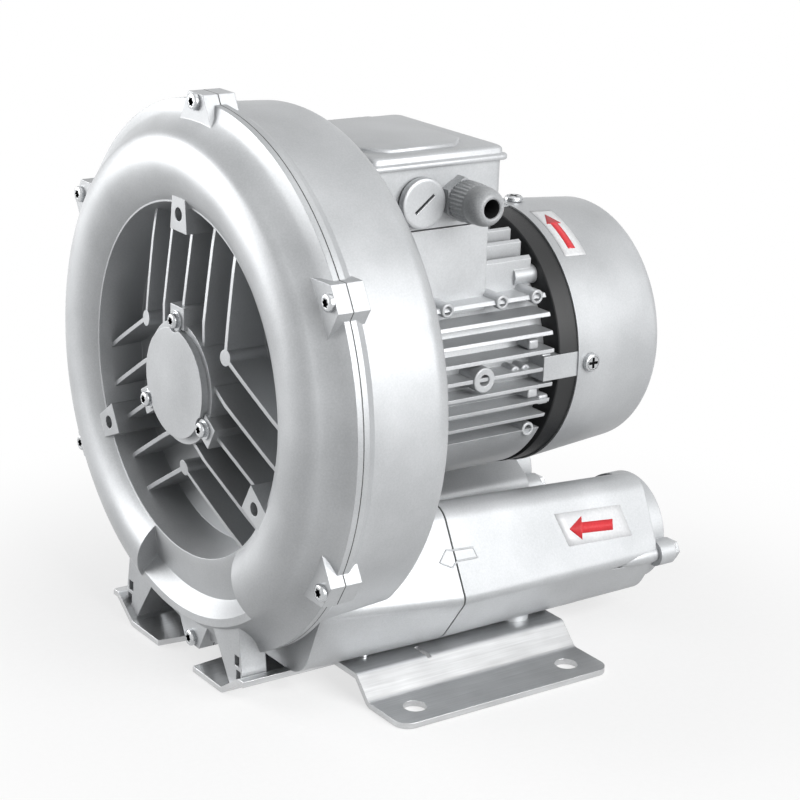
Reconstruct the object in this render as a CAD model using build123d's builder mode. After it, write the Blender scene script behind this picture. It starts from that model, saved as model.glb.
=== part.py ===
"""Side channel blower: ribbed impeller cover in front, finned motor behind, two silencers below on a folded plate.

Frame: origin on the floor at the centre of the foot holes, +Z up, +X to the inlet side, +Y along the shaft to the fan.
Casing sizes called u are measured along +Y from a plane 4 mm behind the joint of the two casing halves.
"""

import os
from math import cos, radians, sin, sqrt

from build123d import *

os.makedirs("parts", exist_ok=True)

# Layout
SHAFT_H = 148.0  # shaft axis above the floor
JOINT_Y = -96.0  # where u is 0
GASKET_T = 0.5
RUN_GAP = 0.5  # between impeller and casing
FIT = 0.05  # radial clearance of a screw or pin in its hole

# Impeller
IMPELLER_R = 118.0
IMPELLER_W = 32.0
IMPELLER_FRONT = -9.0  # u
RIM_IN_R = 89.5
POCKET_IN_R = 92.0
RIDGE_T = 3.0
BLADES = 40
BLADE_T = 2.4
WEB_FRONT = 11.0
WEB_T = 4.0
HUB_FRONT = 8.6
HUB_L = 22.0
HUB_R = 22.0

# Casing
SPLIT_U = -4.0  # joint face of the cover
RIM_R = 137.8
RIM_FRONT_U = -7.0
RIM_REAR_U = -0.6
CHAMBER_R = IMPELLER_R + RUN_GAP + 0.1
CHANNEL_R = 105.0  # middle of the side channel
CHANNEL_HALF = 13.5
CHANNEL_DEPTH = 12.0
LUG_COUNT = 6
LUG_SCREW_R = RIM_R + 0.4
LUG_OUT_R = RIM_R + 4.4
LUG_FRONT = -12.0
LUG_REAR = 5.3
STRIPPER_FROM = 252.0  # degrees, counterclockwise from +X seen from the cover
STRIPPER_TO = 306.0

# Cover
STEP_U = -9.1
STEP_R = RIM_R - 5.3
EDGE_U = -20.7
EDGE_R = 122.2
BAND_R = 118.0
VALLEY_U = -13.5
VALLEY_R = 110.0
BULGE_U = -25.6
LIP_U = -18.3
LIP_R = 88.6
FLOOR_U = 4.0
FLOOR_R = 83.5
FLOOR_T = 4.0
COVER_HUB_U = -20.0
COVER_HUB_R = 31.0
RIB_T = 2.2
RIB_PITCH = 19.5
PAD_U = -21.6
PAD_R = 31.8
PAD_W = 13.0
BOSS_U = -21.05
BOSS_HOLE_R = 84.4
BOSS_THREAD = 3.4
BOSS_DEPTH = 16.0
LEG_U = -18.1
LEG_DEPTH = SPLIT_U - LEG_U

# Front bearing and its cap
FRONT_BRG_U = -19.0
FRONT_BRG_W = 14.0
FRONT_BRG_OUT = 23.5
FRONT_BRG_IN = 10.0
FRONT_BALL_R = 3.9
CAP_R = 27.7
CAP_T = 3.5
CAP_SCREW = 2.0
WASHER_R = 5.0
WASHER_T = 1.0
COVER_BORE = 18.0

# Rear casing
DRUM_R = RIM_R - 4.6
DRUM_REAR = 52.0
DRUM_ROUND = 12.0
DRUM_T = 8.0
TUBE_OUT = 67.0
TUBE_IN = 55.0
WALL_U = 16.5
WALL_T = 4.0
SEAL_U = 31.6
SEAL_W = 7.0
SEAL_R = 20.0
REAR_RIBS = 24
FRAME_SCREW_R = 61.0

# Silencers, seen along Y about the port axis
PORT_X = 57.5
PORT_Z = 45.0  # above the floor
PORT_BORE = 22.4
DUCT_BORE = 18.0
SIL_BOTTOM = 31.0
SIL_FRONT_CORNERS = ((16.2, 47.8), (42.4, 0), (20.3, -SIL_BOTTOM), (-20.3, -SIL_BOTTOM), (-47, 5))
SIL_REAR_CORNERS = ((16.2, 40.5), (36.9, -2.7), (20.1, -SIL_BOTTOM), (-20, -SIL_BOTTOM), (-43, 0.5))
SIL_ROUNDS = (12, 6, 19, 10, 8)
DUCT_CORNERS = ((16.2, 47.8), (36.4, 8), (20.3, -SIL_BOTTOM), (-20.3, -SIL_BOTTOM), (-41, 13))
SIL_JOINT_Y = -9.6
SIL_GASKET = 1.0
SIL_REAR_Y = 122.4
SIL_WALL = 4.0
PORT_FLANGE_R = 29.5
PORT_FLANGE_T = 10.0
TIE_X = 33.0  # tie bolts each side of the port axis
TIE_DOWN = 4.0
TIE_R = 3.0
SLEEVE_BORE = 19.0

# Base plate
PLATE_T = 3.0
PLATE_HALF_X = 127.5
FOOT_X = 225.0
FOOT_Y = 95.0
FOOT_HOLE = 6.0
PAD_HALF_Y = 65.0
PLATE_FRONT = -118.0
PLATE_REAR = 90.0
DECK_TOP = PORT_Z - SIL_BOTTOM
DECK_IN = 62.0
DECK_OUT = 87.0
PAD_IN = 98.0
LIP_OUT = 46.0
BEND_R = 4.0
NOTCH_HALF = 18.0
NECK_HALF = 67.0
BASE_SCREW_X = 70.0
BASE_SCREW_Y = (-50.0, 45.0)
BASE_SCREW_IN = 3.6  # thread above the deck

# Motor
STATOR_R = 52.0
BODY_R = 57.0
FIN_R = 69.5
FIN_T = 2.0
FIN_PITCH = 9.0
FIN_TOP = 4  # fins above and below the middle one
TOP_FIN_X = (27.0, 36.0, 45.0)
FRAME_REAR = 66.4
SHIELD_REAR = 78.4
CORE_FROM = -25.0
CORE_L = 70.0
AIR_GAP = 0.4
ROTOR_R = 30.0
REAR_BRG_Y = 64.0
REAR_BRG_W = 11.0
REAR_BRG_OUT = 17.5
REAR_BRG_IN = 7.5
REAR_BALL_R = 2.9
COWL_FRONT_R = 71.0
COWL_REAR_R = 66.4
COWL_REAR = 138.7
COWL_T = 1.5
COWL_SCREW_Y = 86.4
FAN_R = 56.0
FAN_Y = 98.0

# Terminal box, heights above the shaft
BOX_X = (-42.0, 50.0)
BOX_HALF_Y = 39.0
BOX_FLOOR = 76.0
BOX_TOP = 108.0
BOX_WALL = 3.0
LID_OVER = 2.0
LID_TOP = 114.5
PANEL_TOP = 116.5
GLAND_Y = 11.5
GLAND_H = 90.0
GLAND_THREAD = 8.0
PLUG_Y = -11.6
PLUG_THREAD = 10.0
PLUG_R = 12.75

SHAFT_AXIS = Axis((0, 0, SHAFT_H), (0, -1, 0))


def front(y):
    """Plane across the shaft seen from the cover: x is +X, y is height above the shaft, depth is negative."""
    return Plane(origin=(0, y, SHAFT_H), x_dir=(1, 0, 0), z_dir=(0, -1, 0))


def back(y):
    """Plane across the shaft seen from the fan."""
    return Plane(origin=(0, y, SHAFT_H), x_dir=(1, 0, 0), z_dir=(0, 1, 0))


def casing_section(angle):
    """Half plane through the shaft at an angle from +X: x is u, y is the radius."""
    turn = radians(angle)
    return Plane(origin=(0, JOINT_Y, SHAFT_H), x_dir=(0, 1, 0), z_dir=(sin(turn), 0, -cos(turn)))


def motor_section():
    """Upright half plane through the shaft: x is Y in the part's frame, y is the radius."""
    return Plane(origin=(0, 0, SHAFT_H), x_dir=(0, 1, 0), z_dir=(1, 0, 0))


def radial(angle, y, reach):
    """Plane that faces away from the shaft at an angle from +X: x is along the shaft."""
    turn = radians(angle)
    way = (cos(turn), 0, sin(turn))
    return Plane(origin=(reach * way[0], y, SHAFT_H + reach * way[2]), x_dir=(0, 1, 0), z_dir=way)


def finish(part, name):
    """Names a finished piece and writes it."""
    part.label = name
    export_step(part, "parts/" + name + ".step")


def side_channel(start, arc, u, side):
    """One side channel as a solid: half an ellipse beside the impeller, turned through an arc."""
    with BuildPart() as channel:
        with BuildSketch(casing_section(start)):
            with Locations((u, CHANNEL_R)):
                Ellipse(CHANNEL_DEPTH, CHANNEL_HALF)
            with Locations((u - side * CHANNEL_DEPTH, CHANNEL_R)):
                Rectangle(2 * CHANNEL_DEPTH, 3 * CHANNEL_HALF, mode=Mode.SUBTRACT)
        revolve(axis=SHAFT_AXIS, revolution_arc=arc)
    return channel.part


def lug_shape():
    """Six wedge-shaped lugs that carry the casing screws."""
    with PolarLocations(0, LUG_COUNT, start_angle=30):
        Polygon((STEP_R - 5, -15), (LUG_OUT_R, -6.8), (LUG_OUT_R, 6.8), (STEP_R - 5, 15))


# Impeller cover
LAND_FRONT = IMPELLER_FRONT - RUN_GAP
LAND_REAR = IMPELLER_FRONT + IMPELLER_W + RUN_GAP
FLOOR_IN = FLOOR_U + FLOOR_T
WALL_IN_R = RIM_IN_R - RUN_GAP  # chamber side of the recess wall at the land
WALL_FLOOR_R = FLOOR_R + FLOOR_T
JOINT_IN_R = WALL_IN_R + (WALL_FLOOR_R - WALL_IN_R) * (LAND_FRONT - SPLIT_U) / (LAND_FRONT - FLOOR_IN)
THREE = dict(radius=0, count=3, start_angle=90)

with BuildPart() as cover_ribs:
    with BuildSketch(front(JOINT_Y + FLOOR_U + 1)):
        with PolarLocations(**THREE):
            for step in range(-2, 3):
                offset_y = step * RIB_PITCH
                rib_from = {0: PAD_R, 1: 23.5, 2: 2 * RIB_PITCH / sqrt(3) - 1}[abs(step)]
                rib_to = sqrt(WALL_FLOOR_R**2 - offset_y**2)
                with Locations(((rib_from + rib_to) / 2, offset_y)):
                    Rectangle(rib_to - rib_from, RIB_T)
        with PolarLocations(radius=4 * RIB_PITCH / sqrt(3), count=3, start_angle=30):
            Circle(4)
    extrude(amount=30)
    with BuildSketch(casing_section(90)):
        Polygon(
            (FLOOR_U + 1, COVER_HUB_R - 1),
            (FLOOR_U + 1, WALL_FLOOR_R - 0.1),
            (-11.6, WALL_FLOOR_R - 0.1),
            (-13.6, 75),
            (LEG_U, 40),
            (LEG_U, COVER_HUB_R - 1),
        )
    revolve(axis=SHAFT_AXIS, mode=Mode.INTERSECT)

with BuildPart() as impeller_cover:
    with BuildSketch(casing_section(90)):
        with BuildLine():
            Polyline(
                (COVER_HUB_U, COVER_BORE - 5),
                (FLOOR_IN, COVER_BORE - 5),
                (FLOOR_IN, WALL_FLOOR_R),
                (SPLIT_U, JOINT_IN_R),
                (SPLIT_U, RIM_R),
                (RIM_FRONT_U, RIM_R),
                (STEP_U, STEP_R),
            )
            ThreePointArc((STEP_U, STEP_R), (STEP_U - 5.1, STEP_R - 5.9), (EDGE_U, EDGE_R))
            Polyline(
                (EDGE_U, EDGE_R),
                (EDGE_U, BAND_R),
                (VALLEY_U, VALLEY_R),
                (LIP_U, LIP_R + 2.4),
                (LIP_U, LIP_R),
                (FLOOR_U, FLOOR_R),
                (FLOOR_U, COVER_HUB_R),
                (COVER_HUB_U, COVER_HUB_R),
                (COVER_HUB_U, COVER_BORE - 5),
            )
        make_face()
    revolve(axis=SHAFT_AXIS)
    with BuildSketch(casing_section(STRIPPER_TO)):
        with BuildLine():
            ThreePointArc((LIP_U, LIP_R + 1), (BULGE_U, CHANNEL_R + 1), (EDGE_U, EDGE_R))
            Polyline((EDGE_U, EDGE_R), (-12, EDGE_R - 2), (-12, LIP_R + 3), (LIP_U, LIP_R + 1))
        make_face()
    revolve(axis=SHAFT_AXIS, revolution_arc=360 - STRIPPER_TO + STRIPPER_FROM)
    add(cover_ribs.part)
    with BuildSketch(front(JOINT_Y + BOSS_U)):
        with PolarLocations(**THREE):
            Polygon((76, -8), (103, -5), (103, 5), (76, 8))
    extrude(amount=-(FLOOR_U - BOSS_U))
    with BuildSketch(front(JOINT_Y + PAD_U)):
        with PolarLocations(**THREE):
            with Locations((CAP_R + 0.3, 0)):
                Rectangle(11, PAD_W, align=(Align.MIN, Align.CENTER))
    extrude(amount=-(FLOOR_U - PAD_U))
    with BuildSketch(front(JOINT_Y + LUG_FRONT)):
        lug_shape()
    extrude(amount=LUG_FRONT - SPLIT_U)
    plate_z = DECK_TOP - SHAFT_H
    leg_in = 48.0
    leg_out = 59.5
    plate_slope = (DECK_TOP - PLATE_T) / (DECK_IN - LIP_OUT)
    leg_in_z = PLATE_T - SHAFT_H + (leg_in - LIP_OUT) * plate_slope
    leg_out_z = PLATE_T - SHAFT_H + (leg_out - LIP_OUT) * plate_slope
    with BuildSketch(front(JOINT_Y + LEG_U)) as leg_front:
        Polygon((leg_in, leg_in_z), (leg_out, leg_out_z), (55.7, -110), (50, -104), (28, -112), (31, -119))
        mirror(about=Plane.YZ)
        Circle(BAND_R + 1, mode=Mode.SUBTRACT)
    extrude(amount=-LEG_DEPTH)
    with BuildSketch(front(JOINT_Y + LEG_U)):
        with Locations((54.5, -128.5), (-54.5, -128.5)):
            Rectangle(4.6, 5.5)
        with Locations((56, -136), (-56, -136)):
            Rectangle(4.2, 5.5)
    extrude(amount=-LEG_DEPTH, mode=Mode.SUBTRACT)
    with BuildSketch(casing_section(90)):
        Polygon(
            (LAND_FRONT, WALL_IN_R),
            (LAND_FRONT, CHAMBER_R),
            (FLOOR_IN, CHAMBER_R),
            (FLOOR_IN, WALL_FLOOR_R),
        )
    revolve(axis=SHAFT_AXIS, mode=Mode.SUBTRACT)
    add(side_channel(STRIPPER_TO + 2, 356 - STRIPPER_TO + STRIPPER_FROM, LAND_FRONT, -1), mode=Mode.SUBTRACT)
    with BuildSketch(casing_section(90)):
        Polygon(
            (COVER_HUB_U, 0),
            (COVER_HUB_U, FRONT_BRG_OUT),
            (FRONT_BRG_U + FRONT_BRG_W, FRONT_BRG_OUT),
            (FRONT_BRG_U + FRONT_BRG_W, COVER_BORE),
            (FLOOR_IN, COVER_BORE),
            (FLOOR_IN, 0),
        )
    revolve(axis=SHAFT_AXIS, mode=Mode.SUBTRACT)
    with BuildSketch(front(JOINT_Y + LUG_FRONT)):
        with PolarLocations(LUG_SCREW_R, LUG_COUNT, start_angle=30):
            Circle(2.75)
    extrude(amount=LUG_FRONT - SPLIT_U, mode=Mode.SUBTRACT)
    with BuildSketch(front(JOINT_Y + PAD_U)):
        with PolarLocations(PAD_R, 3, start_angle=90):
            Circle(CAP_SCREW + FIT)
    extrude(amount=-12, mode=Mode.SUBTRACT)
    with BuildSketch(front(JOINT_Y + BOSS_U)):
        with PolarLocations(BOSS_HOLE_R, 3, start_angle=90):
            Circle(BOSS_THREAD)
    extrude(amount=-BOSS_DEPTH, mode=Mode.SUBTRACT)
finish(impeller_cover.part, "impeller_cover")

with BuildPart() as casing_gasket:
    with BuildSketch(front(JOINT_Y + SPLIT_U)):
        Circle(RIM_R)
        lug_shape()
        Circle(CHAMBER_R, mode=Mode.SUBTRACT)
        with PolarLocations(LUG_SCREW_R, LUG_COUNT, start_angle=30):
            Circle(2.75, mode=Mode.SUBTRACT)
    extrude(amount=-GASKET_T)
finish(casing_gasket.part, "casing_gasket")


# Silencer outline and everything that follows it
def silencer_outline(side, corners, grow=0.0):
    """Rounded five-sided section about a port axis, on a plane across the shaft."""
    with BuildSketch() as outline:
        with BuildLine():
            FilletPolyline(*[(side * x, z) for x, z in corners], radius=SIL_ROUNDS, close=True)
        make_face()
        if grow:
            offset(amount=grow)
    return outline.sketch.moved(Location((side * PORT_X, PORT_Z - SHAFT_H)))


def silencer_form(side, start, end, grow=0.0):
    """Tapered body between two distances along the shaft, cut from the loft of the end sections."""
    with BuildPart() as form:
        with BuildSketch(front(SIL_JOINT_Y)):
            add(silencer_outline(side, SIL_FRONT_CORNERS, grow))
        with BuildSketch(front(SIL_REAR_Y)):
            add(silencer_outline(side, SIL_REAR_CORNERS, grow))
        loft()
        with BuildSketch(front(start)):
            Rectangle(4 * SHAFT_H, 4 * SHAFT_H)
        extrude(amount=start - end, mode=Mode.INTERSECT)
    return form.part


def port_points(side, reach):
    """The two points beside a port axis where the tie bolts pass, across the shaft."""
    height = PORT_Z - SHAFT_H - TIE_DOWN
    return [(side * PORT_X - reach, height), (side * PORT_X + reach, height)]


def duct(side):
    """Duct from the drum to a silencer, its outer corner drawn in towards the drum."""
    with BuildPart() as form:
        with BuildSketch(front(SIL_JOINT_Y)):
            add(silencer_outline(side, SIL_FRONT_CORNERS))
        with BuildSketch(front(JOINT_Y + 5)):
            add(silencer_outline(side, DUCT_CORNERS))
        loft()
        with BuildSketch(front(SIL_JOINT_Y)):
            Circle(TUBE_OUT)
        extrude(amount=SIL_JOINT_Y - JOINT_Y, mode=Mode.SUBTRACT)
    return form.part


# Rear casing
with BuildPart() as rear_casing:
    with BuildSketch(casing_section(90)):
        with BuildLine():
            Polyline(
                (DRUM_REAR, DRUM_R - DRUM_ROUND),
                (DRUM_REAR, TUBE_IN),
                (WALL_U + WALL_T, TUBE_IN),
                (WALL_U + WALL_T, SEAL_R + 7),
                (SEAL_U + SEAL_W + 2, SEAL_R + 7),
                (SEAL_U + SEAL_W + 2, SEAL_R),
                (SEAL_U, SEAL_R),
                (SEAL_U, HUB_R + 1),
                (WALL_U, HUB_R + 1),
                (WALL_U, WALL_IN_R - 1),
                (LAND_REAR, WALL_IN_R),
                (LAND_REAR, CHAMBER_R),
                (SPLIT_U + GASKET_T, CHAMBER_R),
                (SPLIT_U + GASKET_T, RIM_R),
                (RIM_REAR_U, RIM_R),
                (RIM_REAR_U + 4.5, DRUM_R + 1.8),
                (DRUM_REAR - DRUM_ROUND, DRUM_R),
            )
            CenterArc((DRUM_REAR - DRUM_ROUND, DRUM_R - DRUM_ROUND), DRUM_ROUND, 0, 90)
        make_face()
    revolve(axis=SHAFT_AXIS)
    with BuildSketch(casing_section(90)):
        Polygon(
            (DRUM_REAR, TUBE_OUT),
            (WALL_U + WALL_T, TUBE_OUT),
            (WALL_U + WALL_T, WALL_IN_R - 2),
            (LAND_REAR + CHANNEL_DEPTH + 4, WALL_IN_R + 2),
            (LAND_REAR + CHANNEL_DEPTH + 4, DRUM_R - DRUM_T),
            (DRUM_REAR, DRUM_R - DRUM_ROUND - 1),
        )
    revolve(axis=SHAFT_AXIS, mode=Mode.SUBTRACT)
    with BuildSketch(front(JOINT_Y + WALL_U + WALL_T)):
        with PolarLocations(0, REAR_RIBS, start_angle=15):
            with Locations((TUBE_OUT - 1, 0)):
                Rectangle(DRUM_R - DRUM_ROUND - TUBE_OUT + 1, 3, align=(Align.MIN, Align.CENTER))
    extrude(amount=-(DRUM_REAR - WALL_U - WALL_T - 3))
    add(duct(1))
    add(duct(-1))
    with BuildSketch(front(JOINT_Y + SPLIT_U + GASKET_T)):
        lug_shape()
    extrude(amount=-(LUG_REAR - SPLIT_U - GASKET_T))
    with BuildSketch(casing_section(90)):
        Polygon(
            (SPLIT_U, HUB_R + 1),
            (SPLIT_U, CHAMBER_R),
            (LAND_REAR, CHAMBER_R),
            (LAND_REAR, WALL_IN_R),
            (WALL_U, WALL_IN_R - 1),
            (WALL_U, HUB_R + 1),
        )
    revolve(axis=SHAFT_AXIS, mode=Mode.SUBTRACT)
    add(side_channel(290, 320, LAND_REAR, 1), mode=Mode.SUBTRACT)
    with BuildSketch(front(JOINT_Y + 9)):
        with Locations((PORT_X, PORT_Z - SHAFT_H), (-PORT_X, PORT_Z - SHAFT_H)):
            Circle(DUCT_BORE)
    extrude(amount=-(SIL_JOINT_Y - JOINT_Y - 9), mode=Mode.SUBTRACT)
    with BuildSketch(front(SIL_JOINT_Y)):
        with Locations(*port_points(1, TIE_X), *port_points(-1, TIE_X)):
            Circle(TIE_R)
    extrude(amount=24, mode=Mode.SUBTRACT)
    with BuildSketch(front(JOINT_Y + SPLIT_U + GASKET_T)):
        with PolarLocations(LUG_SCREW_R, LUG_COUNT, start_angle=30):
            Circle(2.5)
    extrude(amount=-(LUG_REAR - SPLIT_U - GASKET_T), mode=Mode.SUBTRACT)
    with BuildSketch(front(JOINT_Y + WALL_U)):
        with PolarLocations(FRAME_SCREW_R, 4, start_angle=45):
            Circle(4.5)
    extrude(amount=-(DRUM_REAR - WALL_U - 10), mode=Mode.SUBTRACT)
    with BuildSketch(front(JOINT_Y + DRUM_REAR)):
        with PolarLocations(FRAME_SCREW_R, 4, start_angle=45):
            Circle(2.7)
    extrude(amount=10, mode=Mode.SUBTRACT)
    with BuildSketch(Plane.XY.offset(DECK_TOP)):
        with Locations((BASE_SCREW_X, BASE_SCREW_Y[0]), (-BASE_SCREW_X, BASE_SCREW_Y[0])):
            Circle(3)
    extrude(amount=12, mode=Mode.SUBTRACT)
finish(rear_casing.part, "rear_casing")


# Silencers
CAVITY_REAR = SIL_REAR_Y - 8.0
SIL_FRONT = SIL_JOINT_Y + SIL_GASKET


def silencer_body(side):
    """Hollow silencer housing with a port in its rear wall and two channels for the tie bolts."""
    with BuildPart() as body:
        add(silencer_form(side, SIL_FRONT, SIL_REAR_Y))
        with BuildSketch(Plane.XY.offset(DECK_TOP)):
            with Locations((side * BASE_SCREW_X, BASE_SCREW_Y[1])):
                Circle(8)
        extrude(amount=8)
        with BuildPart(mode=Mode.PRIVATE) as cavity:
            add(silencer_form(side, SIL_FRONT, CAVITY_REAR, -SIL_WALL))
            with BuildSketch(front(SIL_FRONT)):
                with Locations(*port_points(side, TIE_X)):
                    Circle(TIE_R + 3.5)
            extrude(amount=-(CAVITY_REAR - SIL_FRONT), mode=Mode.SUBTRACT)
        add(cavity.part, mode=Mode.SUBTRACT)
        with BuildSketch(front(SIL_FRONT)):
            with Locations((side * PORT_X, PORT_Z - SHAFT_H)):
                Circle(SLEEVE_BORE)
            with Locations(*port_points(side, TIE_X)):
                Circle(TIE_R + 0.3)
        extrude(amount=-(SIL_REAR_Y - SIL_FRONT), mode=Mode.SUBTRACT)
        with BuildSketch(Plane.XY.offset(DECK_TOP)):
            with Locations((side * BASE_SCREW_X, BASE_SCREW_Y[1])):
                Circle(3)
        extrude(amount=8, mode=Mode.SUBTRACT)
    return body.part


def silencer_sleeve(side):
    """Open-cell foam sleeve that lines the cavity of a silencer."""
    with BuildPart() as sleeve:
        add(silencer_form(side, SIL_FRONT + 1, CAVITY_REAR - 0.3, -SIL_WALL - 0.6))
        with BuildSketch(front(SIL_FRONT + 1)):
            with Locations((side * PORT_X, PORT_Z - SHAFT_H)):
                Circle(SLEEVE_BORE)
            with Locations(*port_points(side, TIE_X)):
                Circle(TIE_R + 4.2)
        extrude(amount=-(CAVITY_REAR - SIL_FRONT), mode=Mode.SUBTRACT)
    return sleeve.part


def silencer_gasket(side):
    """Flat gasket between the casing duct and a silencer."""
    with BuildPart() as gasket:
        with BuildSketch(front(SIL_JOINT_Y)):
            add(silencer_outline(side, SIL_FRONT_CORNERS, -0.4))
            with Locations((side * PORT_X, PORT_Z - SHAFT_H)):
                Circle(SLEEVE_BORE, mode=Mode.SUBTRACT)
            with Locations(*port_points(side, TIE_X)):
                Circle(TIE_R + 0.3, mode=Mode.SUBTRACT)
        extrude(amount=-SIL_GASKET)
    return gasket.part


def port_flange(side):
    """Round port with two ears and a pipe thread bore."""
    with BuildPart() as flange:
        with BuildSketch(front(SIL_REAR_Y)):
            with Locations((side * PORT_X, PORT_Z - SHAFT_H)):
                Circle(PORT_FLANGE_R)
            with Locations(*port_points(side, TIE_X)):
                Circle(TIE_R + 4)
            with Locations((side * PORT_X, PORT_Z - SHAFT_H)):
                Circle(PORT_BORE, mode=Mode.SUBTRACT)
            with Locations(*port_points(side, TIE_X)):
                Circle(TIE_R + 0.3, mode=Mode.SUBTRACT)
        extrude(amount=-PORT_FLANGE_T)
    return flange.part


for side, name in ((1, "inlet"), (-1, "outlet")):
    with BuildPart() as silencer:
        add(silencer_body(side))
    finish(silencer.part, name + "_silencer")
    with BuildPart() as sleeve:
        add(silencer_sleeve(side))
    finish(sleeve.part, name + "_foam_sleeve")
    with BuildPart() as gasket:
        add(silencer_gasket(side))
    finish(gasket.part, name + "_silencer_gasket")
    with BuildPart() as flange:
        add(port_flange(side))
    finish(flange.part, name + "_port_flange")
    with BuildPart() as tie_bolts:
        with BuildSketch(front(SIL_JOINT_Y - 20)):
            with Locations(*port_points(side, TIE_X)):
                Circle(TIE_R - FIT)
        extrude(amount=-(SIL_REAR_Y + PORT_FLANGE_T - SIL_JOINT_Y + 20))
        with BuildSketch(front(SIL_REAR_Y + PORT_FLANGE_T)):
            with Locations(*port_points(side, TIE_X)):
                RegularPolygon(5.5, 6)
        extrude(amount=-4)
    finish(tie_bolts.part, name + "_tie_bolts")


# Base plate
with BuildPart() as base_plate:
    with BuildSketch(Plane(origin=(0, PLATE_FRONT, 0), x_dir=(1, 0, 0), z_dir=(0, -1, 0))):
        with BuildLine():
            sheet = FilletPolyline(
                (-PLATE_HALF_X, PLATE_T),
                (-PAD_IN, PLATE_T),
                (-DECK_OUT, DECK_TOP),
                (-DECK_IN, DECK_TOP),
                (-LIP_OUT, PLATE_T),
                (LIP_OUT, PLATE_T),
                (DECK_IN, DECK_TOP),
                (DECK_OUT, DECK_TOP),
                (PAD_IN, PLATE_T),
                (PLATE_HALF_X, PLATE_T),
                radius=BEND_R,
            )
            offset(sheet, amount=PLATE_T, side=Side.RIGHT)
        make_face()
    extrude(amount=-(PLATE_REAR - PLATE_FRONT))
    with BuildSketch(Plane.XY.offset(-1)):
        RectangleRounded(2 * PLATE_HALF_X, 2 * PAD_HALF_Y, 8)
        with Locations((0, (PLATE_FRONT + PLATE_REAR) / 2)):
            Rectangle(2 * NECK_HALF, PLATE_REAR - PLATE_FRONT)
        Polygon(
            (-NOTCH_HALF, PLATE_FRONT),
            (NOTCH_HALF, PLATE_FRONT),
            (NOTCH_HALF - 6, PLATE_FRONT + 50),
            (6 - NOTCH_HALF, PLATE_FRONT + 50),
            mode=Mode.SUBTRACT,
        )
        with GridLocations(FOOT_X, FOOT_Y, 2, 2):
            Circle(FOOT_HOLE, mode=Mode.SUBTRACT)
        with Locations(*[(x, y) for x in (-BASE_SCREW_X, BASE_SCREW_X) for y in BASE_SCREW_Y]):
            Circle(3.3, mode=Mode.SUBTRACT)
        with Locations((52.6, -87.6), (-52.6, -87.6)):
            Circle(5.5, mode=Mode.SUBTRACT)
        with Locations((82, -21.6), (-82, -21.6)):
            Rectangle(12, 2.5, mode=Mode.SUBTRACT)
    extrude(amount=DECK_TOP + 5, mode=Mode.INTERSECT)
finish(base_plate.part, "base_plate")

with BuildPart() as base_screws:
    with BuildSketch(Plane.XY.offset(DECK_TOP - PLATE_T)):
        with Locations(*[(x, y) for x in (-BASE_SCREW_X, BASE_SCREW_X) for y in BASE_SCREW_Y]):
            Circle(3 - FIT)
    extrude(amount=PLATE_T + BASE_SCREW_IN)
    with BuildSketch(Plane.XY.offset(DECK_TOP - PLATE_T)):
        with Locations(*[(x, y) for x in (-BASE_SCREW_X, BASE_SCREW_X) for y in BASE_SCREW_Y]):
            RegularPolygon(5.5, 6)
    extrude(amount=-4)
finish(base_screws.part, "base_screws")


# Screws of the casing and the bearing cap
def pan_screws(plane, places, shank_r, length, head_r, head_t):
    """A set of pan-head screws: heads stand on the plane, shanks run below it."""
    with BuildPart() as screws:
        with BuildSketch(plane):
            with Locations(*places):
                Circle(shank_r)
        extrude(amount=-length)
        with BuildSketch(plane):
            with Locations(*places):
                Circle(head_r)
        extrude(amount=head_t)
        tops = screws.faces().filter_by(plane).group_by(SortBy.AREA)
        fillet([edge for face in tops[-1] for edge in face.edges()], radius=head_t / 3)
    return screws.part


def around(radius, count, start):
    """Points on a circle about the shaft, on a plane across it."""
    steps = [radians(start + 360 * turn / count) for turn in range(count)]
    return [(radius * cos(step), radius * sin(step)) for step in steps]


with BuildPart() as casing_screws:
    lug_points = around(LUG_SCREW_R, LUG_COUNT, 30)
    add(pan_screws(front(JOINT_Y + LUG_FRONT), lug_points, 2.5 - FIT, LUG_REAR - LUG_FRONT, 4.4, 2.6))
finish(casing_screws.part, "casing_screws")

with BuildPart() as bearing_cap:
    with BuildSketch(casing_section(90)):
        Polygon(
            (COVER_HUB_U, 0),
            (COVER_HUB_U - CAP_T, 0),
            (COVER_HUB_U - CAP_T, CAP_R),
            (COVER_HUB_U, CAP_R),
            (COVER_HUB_U, FRONT_BRG_OUT - FIT),
            (FRONT_BRG_U, FRONT_BRG_OUT - FIT),
            (FRONT_BRG_U, FRONT_BRG_OUT - 3.5),
            (COVER_HUB_U, FRONT_BRG_OUT - 3.5),
        )
    revolve(axis=SHAFT_AXIS)
    with BuildSketch(front(JOINT_Y + PAD_U)):
        with PolarLocations(PAD_R, 3, start_angle=90):
            Circle(WASHER_R + 0.8)
    extrude(amount=CAP_T, mode=Mode.SUBTRACT)
finish(bearing_cap.part, "bearing_cap")

with BuildPart() as cap_washers:
    with BuildSketch(front(JOINT_Y + PAD_U)):
        with PolarLocations(PAD_R, 3, start_angle=90):
            Circle(WASHER_R)
            Circle(CAP_SCREW + 0.3, mode=Mode.SUBTRACT)
    extrude(amount=WASHER_T)
finish(cap_washers.part, "cap_washers")

with BuildPart() as cap_screws:
    add(pan_screws(front(JOINT_Y + PAD_U - WASHER_T), around(PAD_R, 3, 90), CAP_SCREW, 12, 3.8, 2.8))
finish(cap_screws.part, "cap_screws")


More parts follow.
